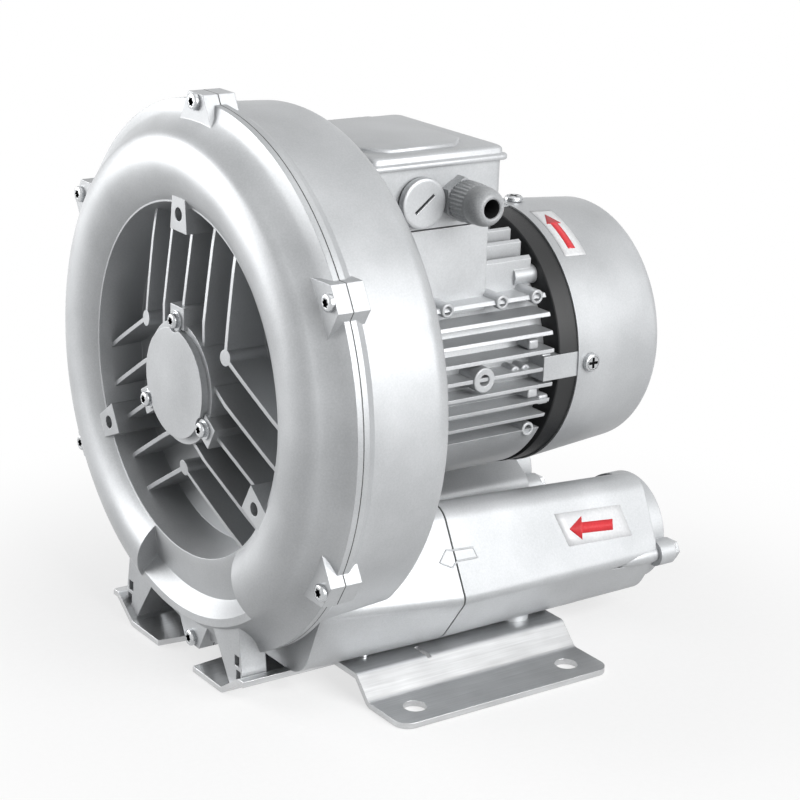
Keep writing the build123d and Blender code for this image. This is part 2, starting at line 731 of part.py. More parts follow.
# Bearings
def bearing_rings(y_from, width, bore, outer, ball_r):
    """Inner and outer ring of a deep groove ball bearing, with a raceway in each."""
    pitch = (bore + outer) / 2
    shoulder = ball_r * 0.62
    rings = []
    for inner, outside in ((bore, pitch - shoulder), (pitch + shoulder, outer)):
        with BuildPart() as ring:
            with BuildSketch(motor_section()):
                with Locations((y_from, inner)):
                    Rectangle(width, outside - inner, align=Align.MIN)
                with Locations((y_from + width / 2, pitch)):
                    Circle(ball_r + FIT, mode=Mode.SUBTRACT)
            revolve(axis=SHAFT_AXIS)
        rings.append(ring.part)
    return rings


def caged_balls(y_mid, bore, outer, ball_r, count):
    """Balls held by a thin cage."""
    pitch = (bore + outer) / 2
    with BuildPart() as balls:
        with BuildSketch(motor_section()):
            with Locations((y_mid, pitch)):
                Rectangle(ball_r * 1.5, ball_r * 0.5)
        revolve(axis=SHAFT_AXIS)
        with Locations(front(y_mid)):
            with PolarLocations(pitch, count):
                Sphere(ball_r)
    return balls.part


front_rings = bearing_rings(JOINT_Y + FRONT_BRG_U, FRONT_BRG_W, FRONT_BRG_IN, FRONT_BRG_OUT, FRONT_BALL_R)
rear_rings = bearing_rings(REAR_BRG_Y, REAR_BRG_W, REAR_BRG_IN, REAR_BRG_OUT, REAR_BALL_R)
finish(front_rings[0], "front_bearing_inner_ring")
finish(front_rings[1], "front_bearing_outer_ring")
finish(rear_rings[0], "rear_bearing_inner_ring")
finish(rear_rings[1], "rear_bearing_outer_ring")

with BuildPart() as front_bearing_balls:
    front_mid = JOINT_Y + FRONT_BRG_U + FRONT_BRG_W / 2
    add(caged_balls(front_mid, FRONT_BRG_IN, FRONT_BRG_OUT, FRONT_BALL_R, 8))
finish(front_bearing_balls.part, "front_bearing_balls")

with BuildPart() as rear_bearing_balls:
    add(caged_balls(REAR_BRG_Y + REAR_BRG_W / 2, REAR_BRG_IN, REAR_BRG_OUT, REAR_BALL_R, 8))
finish(rear_bearing_balls.part, "rear_bearing_balls")

# Shaft and what turns with it, stations along Y
HUB_Y = JOINT_Y + HUB_FRONT
SHOULDER_Y = HUB_Y + HUB_L
NUT_L = 10.0
THREAD_R = 10.3
HUB_BORE = 11.0
SHAFT_R = 14.0
SHAFT_REAR = 121.0
FAN_BORE = 7.0
KEY_W = 6.0
KEY_FROM = HUB_Y + 2
KEY_L = 18.0
REAR_SHOULDER = REAR_BRG_Y

with BuildPart() as shaft:
    with BuildSketch(motor_section()):
        Polygon(
            (JOINT_Y + FRONT_BRG_U, 0),
            (JOINT_Y + FRONT_BRG_U, FRONT_BRG_IN),
            (JOINT_Y + FRONT_BRG_U + FRONT_BRG_W, FRONT_BRG_IN),
            (JOINT_Y + FRONT_BRG_U + FRONT_BRG_W, THREAD_R),
            (HUB_Y, THREAD_R),
            (HUB_Y, HUB_BORE),
            (SHOULDER_Y, HUB_BORE),
            (SHOULDER_Y, SHAFT_R),
            (CORE_FROM + CORE_L, SHAFT_R),
            (CORE_FROM + CORE_L, 10),
            (REAR_SHOULDER, 10),
            (REAR_SHOULDER, REAR_BRG_IN),
            (FAN_Y, REAR_BRG_IN),
            (FAN_Y, FAN_BORE),
            (SHAFT_REAR, FAN_BORE),
            (SHAFT_REAR, 0),
        )
    revolve(axis=SHAFT_AXIS)
    with BuildSketch(Plane.XY.offset(SHAFT_H + HUB_BORE - 3.5)):
        with Locations((0, KEY_FROM)):
            Rectangle(KEY_W, KEY_L, align=(Align.CENTER, Align.MIN))
    extrude(amount=5, mode=Mode.SUBTRACT)
finish(shaft.part, "shaft")

with BuildPart() as impeller_key:
    with BuildSketch(Plane.XY.offset(SHAFT_H + HUB_BORE - 3.5)):
        with Locations((0, KEY_FROM)):
            Rectangle(KEY_W, KEY_L, align=(Align.CENTER, Align.MIN))
    extrude(amount=6)
finish(impeller_key.part, "impeller_key")

with BuildPart() as impeller_nut:
    with BuildSketch(front(HUB_Y)):
        RegularPolygon(17.2, 6)
        Circle(THREAD_R, mode=Mode.SUBTRACT)
    extrude(amount=NUT_L)
finish(impeller_nut.part, "impeller_nut")

# Impeller: blades stand in pockets that open to both faces and to the rim
IMPELLER_REAR = IMPELLER_FRONT + IMPELLER_W
with BuildPart() as pockets:
    with BuildSketch(casing_section(90)):
        with Locations((IMPELLER_FRONT, IMPELLER_R), (IMPELLER_REAR, IMPELLER_R)):
            Ellipse((IMPELLER_W - RIDGE_T) / 2, IMPELLER_R - POCKET_IN_R)
    revolve(axis=SHAFT_AXIS)
    with BuildSketch(front(JOINT_Y + IMPELLER_FRONT - IMPELLER_W)):
        with PolarLocations(0, BLADES):
            with Locations((POCKET_IN_R - 5, 0)):
                Rectangle(2 * (IMPELLER_R - POCKET_IN_R) + 10, BLADE_T, align=(Align.MIN, Align.CENTER))
    extrude(amount=-3 * IMPELLER_W, mode=Mode.SUBTRACT)

with BuildPart() as impeller:
    with BuildSketch(casing_section(90)):
        Polygon(
            (HUB_FRONT, HUB_BORE),
            (HUB_FRONT, HUB_R),
            (WEB_FRONT, HUB_R),
            (WEB_FRONT, RIM_IN_R),
            (IMPELLER_FRONT, RIM_IN_R),
            (IMPELLER_FRONT, IMPELLER_R),
            (IMPELLER_REAR, IMPELLER_R),
            (IMPELLER_REAR, RIM_IN_R),
            (WEB_FRONT + WEB_T, RIM_IN_R),
            (WEB_FRONT + WEB_T, HUB_R),
            (HUB_FRONT + HUB_L, HUB_R),
            (HUB_FRONT + HUB_L, HUB_BORE),
        )
    revolve(axis=SHAFT_AXIS)
    add(pockets.part, mode=Mode.SUBTRACT)
    with BuildSketch(Plane.XY.offset(SHAFT_H)):
        with Locations((0, HUB_Y)):
            Rectangle(KEY_W, HUB_L, align=(Align.CENTER, Align.MIN))
    extrude(amount=HUB_BORE + 2.6, mode=Mode.SUBTRACT)
finish(impeller.part, "impeller")

with BuildPart() as rotor_core:
    with BuildSketch(motor_section()):
        with Locations((CORE_FROM, SHAFT_R)):
            Rectangle(CORE_L, ROTOR_R - SHAFT_R, align=Align.MIN)
        with Locations((CORE_FROM - 8, ROTOR_R - 8)):
            Rectangle(CORE_L + 16, 7, align=Align.MIN)
    revolve(axis=SHAFT_AXIS)
finish(rotor_core.part, "rotor_core")

with BuildPart() as cooling_fan:
    with BuildSketch(motor_section()):
        Polygon(
            (FAN_Y, FAN_BORE),
            (FAN_Y, 12),
            (FAN_Y + 8, 13),
            (FAN_Y + 10, FAN_R - 4),
            (FAN_Y + 12.5, FAN_R - 4),
            (FAN_Y + 10.5, 16),
            (FAN_Y + 20, 12),
            (FAN_Y + 20, FAN_BORE),
        )
    revolve(axis=SHAFT_AXIS)
    with BuildSketch(front(FAN_Y)):
        with PolarLocations(0, 8):
            with Locations((14, 0)):
                Rectangle(FAN_R - 14, 2.2, align=(Align.MIN, Align.CENTER))
    extrude(amount=-22)
finish(cooling_fan.part, "cooling_fan")

# Motor stator parts
with BuildPart() as shaft_seal:
    with BuildSketch(casing_section(90)):
        with Locations((SEAL_U, SHAFT_R + FIT)):
            Rectangle(SEAL_W, SEAL_R - SHAFT_R - FIT, align=Align.MIN)
    revolve(axis=SHAFT_AXIS)
finish(shaft_seal.part, "shaft_seal")

FRAME_FRONT = JOINT_Y + DRUM_REAR
PEDESTAL_Y = (-36.0, 32.4)
PEDESTAL_X = (-41.0, 49.0)


def fin_rows():
    """Level fins on both sides and upright fins on top, as a sketch on a plane across the shaft."""
    with BuildSketch() as rows:
        for step in range(-FIN_TOP, FIN_TOP + 1):
            with Locations((0, step * FIN_PITCH)):
                Rectangle(3 * FIN_R, FIN_T)
        for place in TOP_FIN_X:
            with Locations((place, 0), (-place, 0)):
                Rectangle(FIN_T, 2 * FIN_R, align=(Align.CENTER, Align.MIN))
        Circle(FIN_R, mode=Mode.INTERSECT)
    return rows.sketch


with BuildPart() as motor_frame:
    with BuildSketch(front(FRAME_FRONT)):
        Circle(BODY_R)
    extrude(amount=-(FRAME_REAR - FRAME_FRONT))
    with BuildSketch(front(FRAME_FRONT)):
        add(fin_rows())
        with Locations((0, -FIN_TOP * FIN_PITCH)):
            Rectangle(2 * FIN_R, FIN_R, align=(Align.CENTER, Align.MAX))
        Circle(FIN_R, mode=Mode.INTERSECT)
    extrude(amount=-(FRAME_REAR - FRAME_FRONT - 3))
    with BuildSketch(front(PEDESTAL_Y[0])):
        with Locations((PEDESTAL_X[0], 30)):
            Rectangle(PEDESTAL_X[1] - PEDESTAL_X[0], BOX_FLOOR - 1 - 30, align=Align.MIN)
    extrude(amount=-(PEDESTAL_Y[1] - PEDESTAL_Y[0]))
    with BuildSketch(front(FRAME_FRONT)):
        with PolarLocations(FRAME_SCREW_R, 4, start_angle=45):
            Circle(6)
    extrude(amount=-14)
    with BuildSketch(front(FRAME_REAR)):
        with PolarLocations(FRAME_SCREW_R, 4, start_angle=45):
            Circle(5)
    extrude(amount=14)
    with BuildSketch(front(FRAME_REAR - 10)):
        with PolarLocations(0, 4):
            with Locations((BODY_R - 3, 0)):
                Rectangle(16, 13, align=(Align.MIN, Align.CENTER))
    extrude(amount=-(SHIELD_REAR - FRAME_REAR + 10))
    with BuildSketch(front(FRAME_FRONT)):
        Circle(STATOR_R)
    extrude(amount=-(SHIELD_REAR - FRAME_FRONT), mode=Mode.SUBTRACT)
    with BuildSketch(Plane.XY.offset(SHAFT_H + STATOR_R - 4)):
        with Locations((0, -6)):
            Rectangle(40, 30)
    extrude(amount=30, mode=Mode.SUBTRACT)
    with BuildSketch(front(FRAME_FRONT)):
        with PolarLocations(FRAME_SCREW_R, 4, start_angle=45):
            Circle(2.5)
    extrude(amount=-12, mode=Mode.SUBTRACT)
    with BuildSketch(front(FRAME_REAR)):
        with PolarLocations(FRAME_SCREW_R, 4, start_angle=45):
            Circle(2.0)
    extrude(amount=12, mode=Mode.SUBTRACT)
finish(motor_frame.part, "motor_frame")

with BuildPart() as frame_screws:
    recess_y = JOINT_Y + DRUM_REAR - 10
    frame_points = around(FRAME_SCREW_R, 4, 45)
    add(pan_screws(front(recess_y), frame_points, 2.5 - FIT, 20, 4.2, 3))
finish(frame_screws.part, "frame_screws")

with BuildPart() as stator_core:
    with BuildSketch(motor_section()):
        with Locations((CORE_FROM, ROTOR_R + AIR_GAP)):
            Rectangle(CORE_L, STATOR_R - ROTOR_R - AIR_GAP, align=Align.MIN)
    revolve(axis=SHAFT_AXIS)
finish(stator_core.part, "stator_core")

with BuildPart() as stator_windings:
    with BuildSketch(motor_section()):
        for start in (CORE_FROM - 16, CORE_FROM + CORE_L):
            with Locations((start, ROTOR_R + 3)):
                Rectangle(16, 15, align=Align.MIN)
    revolve(axis=SHAFT_AXIS)
finish(stator_windings.part, "stator_windings")

with BuildPart() as end_shield:
    with BuildSketch(motor_section()):
        Polygon(
            (FRAME_REAR, 66),
            (FRAME_REAR, STATOR_R - FIT),
            (FRAME_REAR - 4, STATOR_R - FIT),
            (FRAME_REAR - 4, STATOR_R - 4),
            (FRAME_REAR + 4, STATOR_R - 6),
            (FRAME_REAR + 4, 24),
            (REAR_BRG_Y, 22),
            (REAR_BRG_Y, REAR_BRG_OUT),
            (REAR_BRG_Y + REAR_BRG_W + 2, REAR_BRG_OUT),
            (REAR_BRG_Y + REAR_BRG_W + 2, 11),
            (SHIELD_REAR + 2, 11),
            (SHIELD_REAR + 2, 24),
            (SHIELD_REAR, 30),
            (SHIELD_REAR, 70),
            (FRAME_REAR + 0.5, 70),
            (FRAME_REAR, 69.5),
        )
    revolve(axis=SHAFT_AXIS)
    with BuildSketch(front(FRAME_REAR)):
        with PolarLocations(0, 4):
            with Locations((STATOR_R + 2, 0)):
                Rectangle(20, 13.4, align=(Align.MIN, Align.CENTER))
    extrude(amount=-(SHIELD_REAR - FRAME_REAR), mode=Mode.SUBTRACT)
    with BuildSketch(front(SHIELD_REAR)):
        with PolarLocations(0, 4):
            with Locations((48, 0)):
                Rectangle(18, 13, align=(Align.MIN, Align.CENTER))
    extrude(amount=-16)
    with BuildSketch(front(SHIELD_REAR)):
        with PolarLocations(0, 4):
            with Locations((46, 0)):
                Rectangle(6, 13, align=(Align.MIN, Align.CENTER))
    extrude(amount=6)
    with BuildSketch(front(SHIELD_REAR)):
        with PolarLocations(FRAME_SCREW_R, 4, start_angle=45):
            Circle(2.2)
    extrude(amount=14, mode=Mode.SUBTRACT)
    for turn in range(4):
        with BuildSketch(radial(90 * turn, COWL_SCREW_Y, 0)):
            Circle(2)
        extrude(amount=90, mode=Mode.SUBTRACT)
finish(end_shield.part, "end_shield")

with BuildPart() as shield_screws:
    add(pan_screws(back(SHIELD_REAR), frame_points, 2 - FIT, SHIELD_REAR - FRAME_REAR + 10, 3.6, 2.6))
finish(shield_screws.part, "shield_screws")

with BuildPart() as wave_spring:
    with BuildSketch(motor_section()):
        with Locations((REAR_BRG_Y + REAR_BRG_W, REAR_BRG_OUT - 3)):
            Rectangle(2, 2.8, align=Align.MIN)
    revolve(axis=SHAFT_AXIS)
finish(wave_spring.part, "wave_spring")

# Fan cowl with a ring grille in its rear wall
with BuildPart() as fan_cowl:
    with BuildSketch(motor_section()):
        Polygon(
            (SHIELD_REAR, 0),
            (SHIELD_REAR, COWL_FRONT_R),
            (COWL_REAR, COWL_REAR_R),
            (COWL_REAR, 0),
        )
    revolve(axis=SHAFT_AXIS)
    fillet(fan_cowl.faces().sort_by(Axis.Y)[-1].edges(), radius=6)
    offset(amount=-COWL_T, openings=fan_cowl.faces().sort_by(Axis.Y)[0])
    with BuildSketch(front(COWL_REAR)):
        for ring in (18, 28, 38, 48):
            with PolarLocations(0, 12):
                with BuildSketch(mode=Mode.PRIVATE) as slot:
                    Circle(ring + 3)
                    Circle(ring - 3, mode=Mode.SUBTRACT)
                    Polygon((0, 0), (90, 19), (90, -19), mode=Mode.INTERSECT)
                add(slot.sketch)
    extrude(amount=10, mode=Mode.SUBTRACT)
    for turn in range(4):
        with BuildSketch(radial(90 * turn, COWL_SCREW_Y, 50)):
            Circle(2.3)
        extrude(amount=40, mode=Mode.SUBTRACT)
finish(fan_cowl.part, "fan_cowl")

with BuildPart() as cowl_screws:
    cowl_r = COWL_FRONT_R - (COWL_FRONT_R - COWL_REAR_R) * (COWL_SCREW_Y - SHIELD_REAR) / (COWL_REAR - SHIELD_REAR)
    for turn in range(4):
        add(pan_screws(radial(90 * turn, COWL_SCREW_Y, cowl_r + 0.4), [(0, 0)], 2 - FIT, 14, 5, 2.6))
finish(cowl_screws.part, "cowl_screws")

# Terminal box
BOX_W = BOX_X[1] - BOX_X[0]
BOX_MID = (BOX_X[0] + BOX_X[1]) / 2
BOX_ROUND = 4.0


def level(height):
    """Level plane at a height above the shaft, centred on the terminal box."""
    return Plane.XY.offset(SHAFT_H + height)


def box_side(y, height):
    """Plane on the +X wall of the terminal box: x is +Y."""
    return Plane(origin=(BOX_X[1], y, SHAFT_H + height), x_dir=(0, 1, 0), z_dir=(1, 0, 0))


with BuildPart() as pedestal_gasket:
    with BuildSketch(level(BOX_FLOOR - 1)):
        with Locations((4, (PEDESTAL_Y[0] + PEDESTAL_Y[1]) / 2)):
            Rectangle(80, PEDESTAL_Y[1] - PEDESTAL_Y[0] - 4)
        with Locations((0, -6)):
            Rectangle(44, 34, mode=Mode.SUBTRACT)
    extrude(amount=1)
finish(pedestal_gasket.part, "pedestal_gasket")

with BuildPart() as terminal_box:
    with BuildSketch(level(BOX_FLOOR)):
        with Locations((BOX_MID, 0)):
            RectangleRounded(BOX_W, 2 * BOX_HALF_Y, BOX_ROUND)
    extrude(amount=BOX_TOP - BOX_FLOOR)
    with BuildSketch(Plane.YZ.offset(BOX_X[0])):
        Polygon(
            (BOX_HALF_Y - 9, SHAFT_H + BOX_FLOOR),
            (BOX_HALF_Y, SHAFT_H + BOX_FLOOR + 16),
            (BOX_HALF_Y, SHAFT_H + BOX_FLOOR),
        )
    extrude(amount=BOX_W, mode=Mode.SUBTRACT)
    with BuildSketch(level(BOX_FLOOR + BOX_WALL)):
        with Locations((BOX_MID, 0)):
            RectangleRounded(BOX_W - 2 * BOX_WALL, 2 * (BOX_HALF_Y - BOX_WALL), BOX_ROUND - 1)
        with Locations((BOX_MID, BOX_HALF_Y)):
            Rectangle(BOX_W, 22, mode=Mode.SUBTRACT)
    extrude(amount=BOX_TOP - BOX_FLOOR, mode=Mode.SUBTRACT)
    with BuildSketch(level(BOX_FLOOR + 18)):
        with Locations((BOX_MID, BOX_HALF_Y - BOX_WALL - 8)):
            Rectangle(BOX_W - 2 * BOX_WALL, 16)
    extrude(amount=BOX_TOP - BOX_FLOOR, mode=Mode.SUBTRACT)
    with BuildSketch(level(BOX_FLOOR)):
        with Locations((0, -6)):
            Rectangle(40, 30)
    extrude(amount=BOX_WALL, mode=Mode.SUBTRACT)
    with BuildSketch(box_side(GLAND_Y, GLAND_H)):
        Circle(GLAND_THREAD)
    extrude(amount=-2 * BOX_WALL, mode=Mode.SUBTRACT)
    with BuildSketch(box_side(PLUG_Y, GLAND_H)):
        Circle(PLUG_THREAD)
    extrude(amount=-2 * BOX_WALL, mode=Mode.SUBTRACT)
finish(terminal_box.part, "terminal_box")

with BuildPart() as lid_gasket:
    with BuildSketch(level(BOX_TOP)):
        with Locations((BOX_MID, 0)):
            RectangleRounded(BOX_W - 1, 2 * BOX_HALF_Y - 1, BOX_ROUND)
            RectangleRounded(BOX_W - 2 * BOX_WALL, 2 * (BOX_HALF_Y - BOX_WALL), BOX_ROUND - 1, mode=Mode.SUBTRACT)
    extrude(amount=1)
finish(lid_gasket.part, "lid_gasket")

LID_FROM = BOX_TOP + 1
LID_W = BOX_W + 2 * LID_OVER
LID_D = 2 * (BOX_HALF_Y + LID_OVER)
with BuildPart() as terminal_lid:
    with BuildSketch(level(LID_FROM)):
        with Locations((BOX_MID, 0)):
            RectangleRounded(LID_W, LID_D, BOX_ROUND + 1)
    extrude(amount=LID_TOP - LID_FROM)
    with BuildSketch(level(LID_TOP)):
        with Locations((BOX_MID + 2, 5)):
            Rectangle(62, 62)
    extrude(amount=PANEL_TOP - LID_TOP)
    panel_corners = terminal_lid.edges().filter_by(Axis.Z).group_by(Axis.Z)[-1]
    chamfer(panel_corners, length=14, length2=20)
    with BuildSketch(level(LID_FROM)):
        with Locations((BOX_MID, 0)):
            Rectangle(BOX_W - 2 * BOX_WALL - 2, 2 * (BOX_HALF_Y - BOX_WALL) - 2)
    extrude(amount=LID_TOP - LID_FROM - 2.5, mode=Mode.SUBTRACT)
finish(terminal_lid.part, "terminal_lid")

with BuildPart() as terminal_board:
    with BuildSketch(level(BOX_FLOOR + BOX_WALL)):
        with Locations((-6, -6)):
            Rectangle(48, 38)
    extrude(amount=7)
finish(terminal_board.part, "terminal_board")

BOARD_TOP = BOX_FLOOR + BOX_WALL + 7
with BuildPart() as terminal_studs:
    with BuildSketch(level(BOARD_TOP)):
        with Locations((-6, -6)):
            with GridLocations(15, 16, 3, 2):
                Circle(2)
    extrude(amount=12)
finish(terminal_studs.part, "terminal_studs")

with BuildPart() as terminal_nuts:
    with BuildSketch(level(BOARD_TOP)):
        with Locations((-6, -6)):
            with GridLocations(15, 16, 3, 2):
                RegularPolygon(4, 6)
                Circle(2 + FIT, mode=Mode.SUBTRACT)
    extrude(amount=3.2)
finish(terminal_nuts.part, "terminal_nuts")

# Cable gland and blanking plug
GLAND_BORE = 4.5
with BuildPart() as cable_gland_body:
    with BuildSketch(box_side(GLAND_Y, GLAND_H)):
        RegularPolygon(11.5, 6, rotation=30)
    extrude(amount=6)
    with BuildSketch(box_side(GLAND_Y, GLAND_H)):
        Circle(GLAND_THREAD - FIT)
    extrude(amount=14)
    with BuildSketch(box_side(GLAND_Y, GLAND_H)):
        Circle(GLAND_THREAD - FIT)
    extrude(amount=-8)
    with BuildSketch(box_side(GLAND_Y, GLAND_H).offset(-8)):
        Circle(GLAND_BORE)
    extrude(amount=14, mode=Mode.SUBTRACT)
    with BuildSketch(box_side(GLAND_Y, GLAND_H).offset(6)):
        Circle(GLAND_BORE + 2)
    extrude(amount=14, mode=Mode.SUBTRACT)
finish(cable_gland_body.part, "cable_gland_body")

with BuildPart() as gland_seal:
    with BuildSketch(box_side(GLAND_Y, GLAND_H).offset(6)):
        Circle(GLAND_BORE + 2 - FIT)
        Circle(GLAND_BORE - 1, mode=Mode.SUBTRACT)
    extrude(amount=12)
finish(gland_seal.part, "gland_seal")

with BuildPart() as gland_nut:
    with BuildSketch(box_side(GLAND_Y, GLAND_H).offset(6)):
        RegularPolygon(10.6, 12)
    extrude(amount=20)
    nut_tip = gland_nut.faces().sort_by(Axis.X)[-1]
    chamfer(nut_tip.edges(), length=3)
    with BuildSketch(box_side(GLAND_Y, GLAND_H).offset(6)):
        Circle(GLAND_THREAD)
    extrude(amount=12, mode=Mode.SUBTRACT)
    with BuildSketch(box_side(GLAND_Y, GLAND_H).offset(18)):
        Circle(GLAND_BORE)
    extrude(amount=12, mode=Mode.SUBTRACT)
finish(gland_nut.part, "gland_nut")

with BuildPart() as plug_o_ring:
    with BuildSketch(box_side(PLUG_Y, GLAND_H)):
        Circle(PLUG_R - 0.6)
        Circle(PLUG_THREAD, mode=Mode.SUBTRACT)
    extrude(amount=1.2)
finish(plug_o_ring.part, "plug_o_ring")

with BuildPart() as blanking_plug:
    with BuildSketch(box_side(PLUG_Y, GLAND_H).offset(1.2)):
        Circle(PLUG_R)
    extrude(amount=4)
    chamfer(blanking_plug.faces().sort_by(Axis.X)[-1].edges(), length=0.8)
    with BuildSketch(box_side(PLUG_Y, GLAND_H).offset(1.2)):
        Circle(PLUG_THREAD - FIT)
    extrude(amount=-9)
finish(blanking_plug.part, "blanking_plug")
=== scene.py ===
"""A side channel blower in a white studio: sprayed die castings, a folded steel foot plate and bright screws.

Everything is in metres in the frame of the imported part: X across, Y along the shaft towards the fan, Z up.
"""

import bmesh
import bpy
import numpy as np
from mathutils import Matrix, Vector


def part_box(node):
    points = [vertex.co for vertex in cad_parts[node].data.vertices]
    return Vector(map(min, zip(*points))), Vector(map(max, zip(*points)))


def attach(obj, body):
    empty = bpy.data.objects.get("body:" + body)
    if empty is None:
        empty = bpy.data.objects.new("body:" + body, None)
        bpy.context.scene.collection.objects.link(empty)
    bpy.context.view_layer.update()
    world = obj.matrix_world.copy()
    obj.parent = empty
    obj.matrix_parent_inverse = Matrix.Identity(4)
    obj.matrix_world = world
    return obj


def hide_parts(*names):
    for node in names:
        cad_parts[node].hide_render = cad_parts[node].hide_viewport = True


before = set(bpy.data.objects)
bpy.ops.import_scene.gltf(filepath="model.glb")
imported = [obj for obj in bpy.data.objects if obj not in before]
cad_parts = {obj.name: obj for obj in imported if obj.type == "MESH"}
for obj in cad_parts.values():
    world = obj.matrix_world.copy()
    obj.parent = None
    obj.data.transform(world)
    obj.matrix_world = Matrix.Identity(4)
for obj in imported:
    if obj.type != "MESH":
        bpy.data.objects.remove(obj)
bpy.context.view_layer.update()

MM = 0.001
SHAFT_H = 148 * MM  # shaft axis above the floor
BOWL_EDGE = 88 * MM  # radius of the cover's round recess
BOWL_MOUTH_Y = -113 * MM
BOWL_DEEP_Y = -95 * MM
CAMERA_SPOT = (0.8876, -0.6156, 0.4732)
CAMERA_TURN = 54.52  # degrees from +Y towards -X
CAMERA_DIP = 18.06
CAMERA_ROLL = 2.1
LENS = 97.55


# Shader nodes


def linear(code):
    """Linear colour of an sRGB hex code, the curve taken piece by piece as the standard has it."""
    levels = np.array([int(code[k : k + 2], 16) for k in (1, 3, 5)]) / 255
    low = levels / 12.92
    high = ((levels + 0.055) / 1.055) ** 2.4
    return (*np.where(levels <= 0.04045, low, high), 1)


def add(tree, kind, sockets=None, **settings):
    """Adds a node. Settings are its own options, and a socket takes a value or the output that feeds it."""
    made = tree.nodes.new(kind)
    for name, value in settings.items():
        setattr(made, name, value)
    for name, value in (sockets or {}).items():
        if isinstance(value, bpy.types.NodeSocket):
            tree.links.new(value, made.inputs[name])
        else:
            made.inputs[name].default_value = value
    return made


def finish_of(name):
    """A new material, its tree, its object coordinates and its shader, with the output joined."""
    made = bpy.data.materials.new(name)
    made.use_nodes = True
    tree = made.node_tree
    tree.nodes.clear()
    place = add(tree, "ShaderNodeTexCoord").outputs["Object"]
    shader = add(tree, "ShaderNodeBsdfPrincipled")
    add(tree, "ShaderNodeOutputMaterial", {"Surface": shader.outputs[0]})
    return made, tree, place, shader


def two_tones(tree, share, dark, light):
    """Colour that goes from one hex code to the other as share goes from 0 to 1."""
    return add(
        tree,
        "ShaderNodeMix",
        {"Factor": share, "A": linear(dark), "B": linear(light)},
        data_type="RGBA",
    ).outputs["Result"]


def feed(tree, shader, colour=None, rough=None, normal=None):
    """Joins a colour, a roughness and a normal to the shader where they are given."""
    for socket, source in (("Base Color", colour), ("Roughness", rough), ("Normal", normal)):
        if source is not None:
            tree.links.new(source, shader.inputs[socket])


def per_metre(size_mm):
    """Noise scale whose blotches are about that many millimetres across."""
    return 1 / (size_mm * MM)


def bowl_shade_share(tree, place):
    """Share from 0 to 1 of how deep a point lies in the round recess of the cover, by its own place; it lays
    the painted shade.
    """
    flat = add(tree, "ShaderNodeVectorMath", {0: place, 1: (1, 0, 1)}, operation="MULTIPLY")
    reach = add(tree, "ShaderNodeVectorMath", {0: flat.outputs[0], 1: (0, 0, SHAFT_H)}, operation="DISTANCE")
    inside = add(
        tree,
        "ShaderNodeMapRange",
        {"Value": reach.outputs["Value"], "From Min": BOWL_EDGE, "From Max": BOWL_EDGE - 3 * MM},
    )
    height = add(tree, "ShaderNodeSeparateXYZ", {0: place})
    deep = add(
        tree,
        "ShaderNodeMapRange",
        {"Value": height.outputs["Y"], "From Min": BOWL_MOUTH_Y, "From Max": BOWL_DEEP_Y},
    )
    both = {0: inside.outputs[0], 1: deep.outputs[0]}
    return add(tree, "ShaderNodeMath", both, operation="MULTIPLY").outputs[0]


def sprayed_casting(name, dark, light, metal, rough_low, rough_high, recess_shade=None):
    """Silver paint sprayed on a shot-blasted die casting.

    The eye gets a satin sheen with a faint mottle about 4 cm across, a fine sparkle of flakes
    and the soft edges that paint leaves. The last argument, when given, is a darker tone painted
    into the round recess as painted shade, deepest at its floor.
    """
    made, tree, place, shader = finish_of(name)
    mottle = add(tree, "ShaderNodeTexNoise", {"Vector": place, "Scale": per_metre(38), "Detail": 4.0})
    flakes = add(tree, "ShaderNodeTexNoise", {"Vector": place, "Scale": per_metre(0.9), "Detail": 1.0})
    share = add(
        tree,
        "ShaderNodeMath",
        {0: flakes.outputs[0], 1: 0.45, 2: mottle.outputs[0]},
        operation="MULTIPLY_ADD",
    )
    even = add(
        tree,
        "ShaderNodeMapRange",
        {"Value": share.outputs[0], "From Min": 0.4, "From Max": 1.05},
    )
    rough = add(
        tree,
        "ShaderNodeMapRange",
        {
            "Value": mottle.outputs[0], "From Min": 0.3, "From Max": 0.7, "To Min": rough_low,
            "To Max": rough_high,
        },
    )
    soft_edge = add(tree, "ShaderNodeBevel", {"Radius": 0.5 * MM}, samples=6)
    peel = add(tree, "ShaderNodeTexNoise", {"Vector": place, "Scale": per_metre(1.6), "Detail": 2.0})
    bump = add(
        tree,
        "ShaderNodeBump",
        {
            "Strength": 0.35, "Distance": 0.05 * MM, "Height": peel.outputs[0],
            "Normal": soft_edge.outputs[0],
        },
    )
    shader.inputs["Metallic"].default_value = metal
    colour = two_tones(tree, even.outputs[0], dark, light)
    # Painted shade: the colour darkens towards the floor of the cover's round recess.
    if recess_shade:
        mix = {"Factor": bowl_shade_share(tree, place), "A": colour, "B": linear(recess_shade)}
        colour = add(tree, "ShaderNodeMix", mix, data_type="RGBA").outputs["Result"]
    feed(tree, shader, colour, rough.outputs[0], bump.outputs[0])
    return made


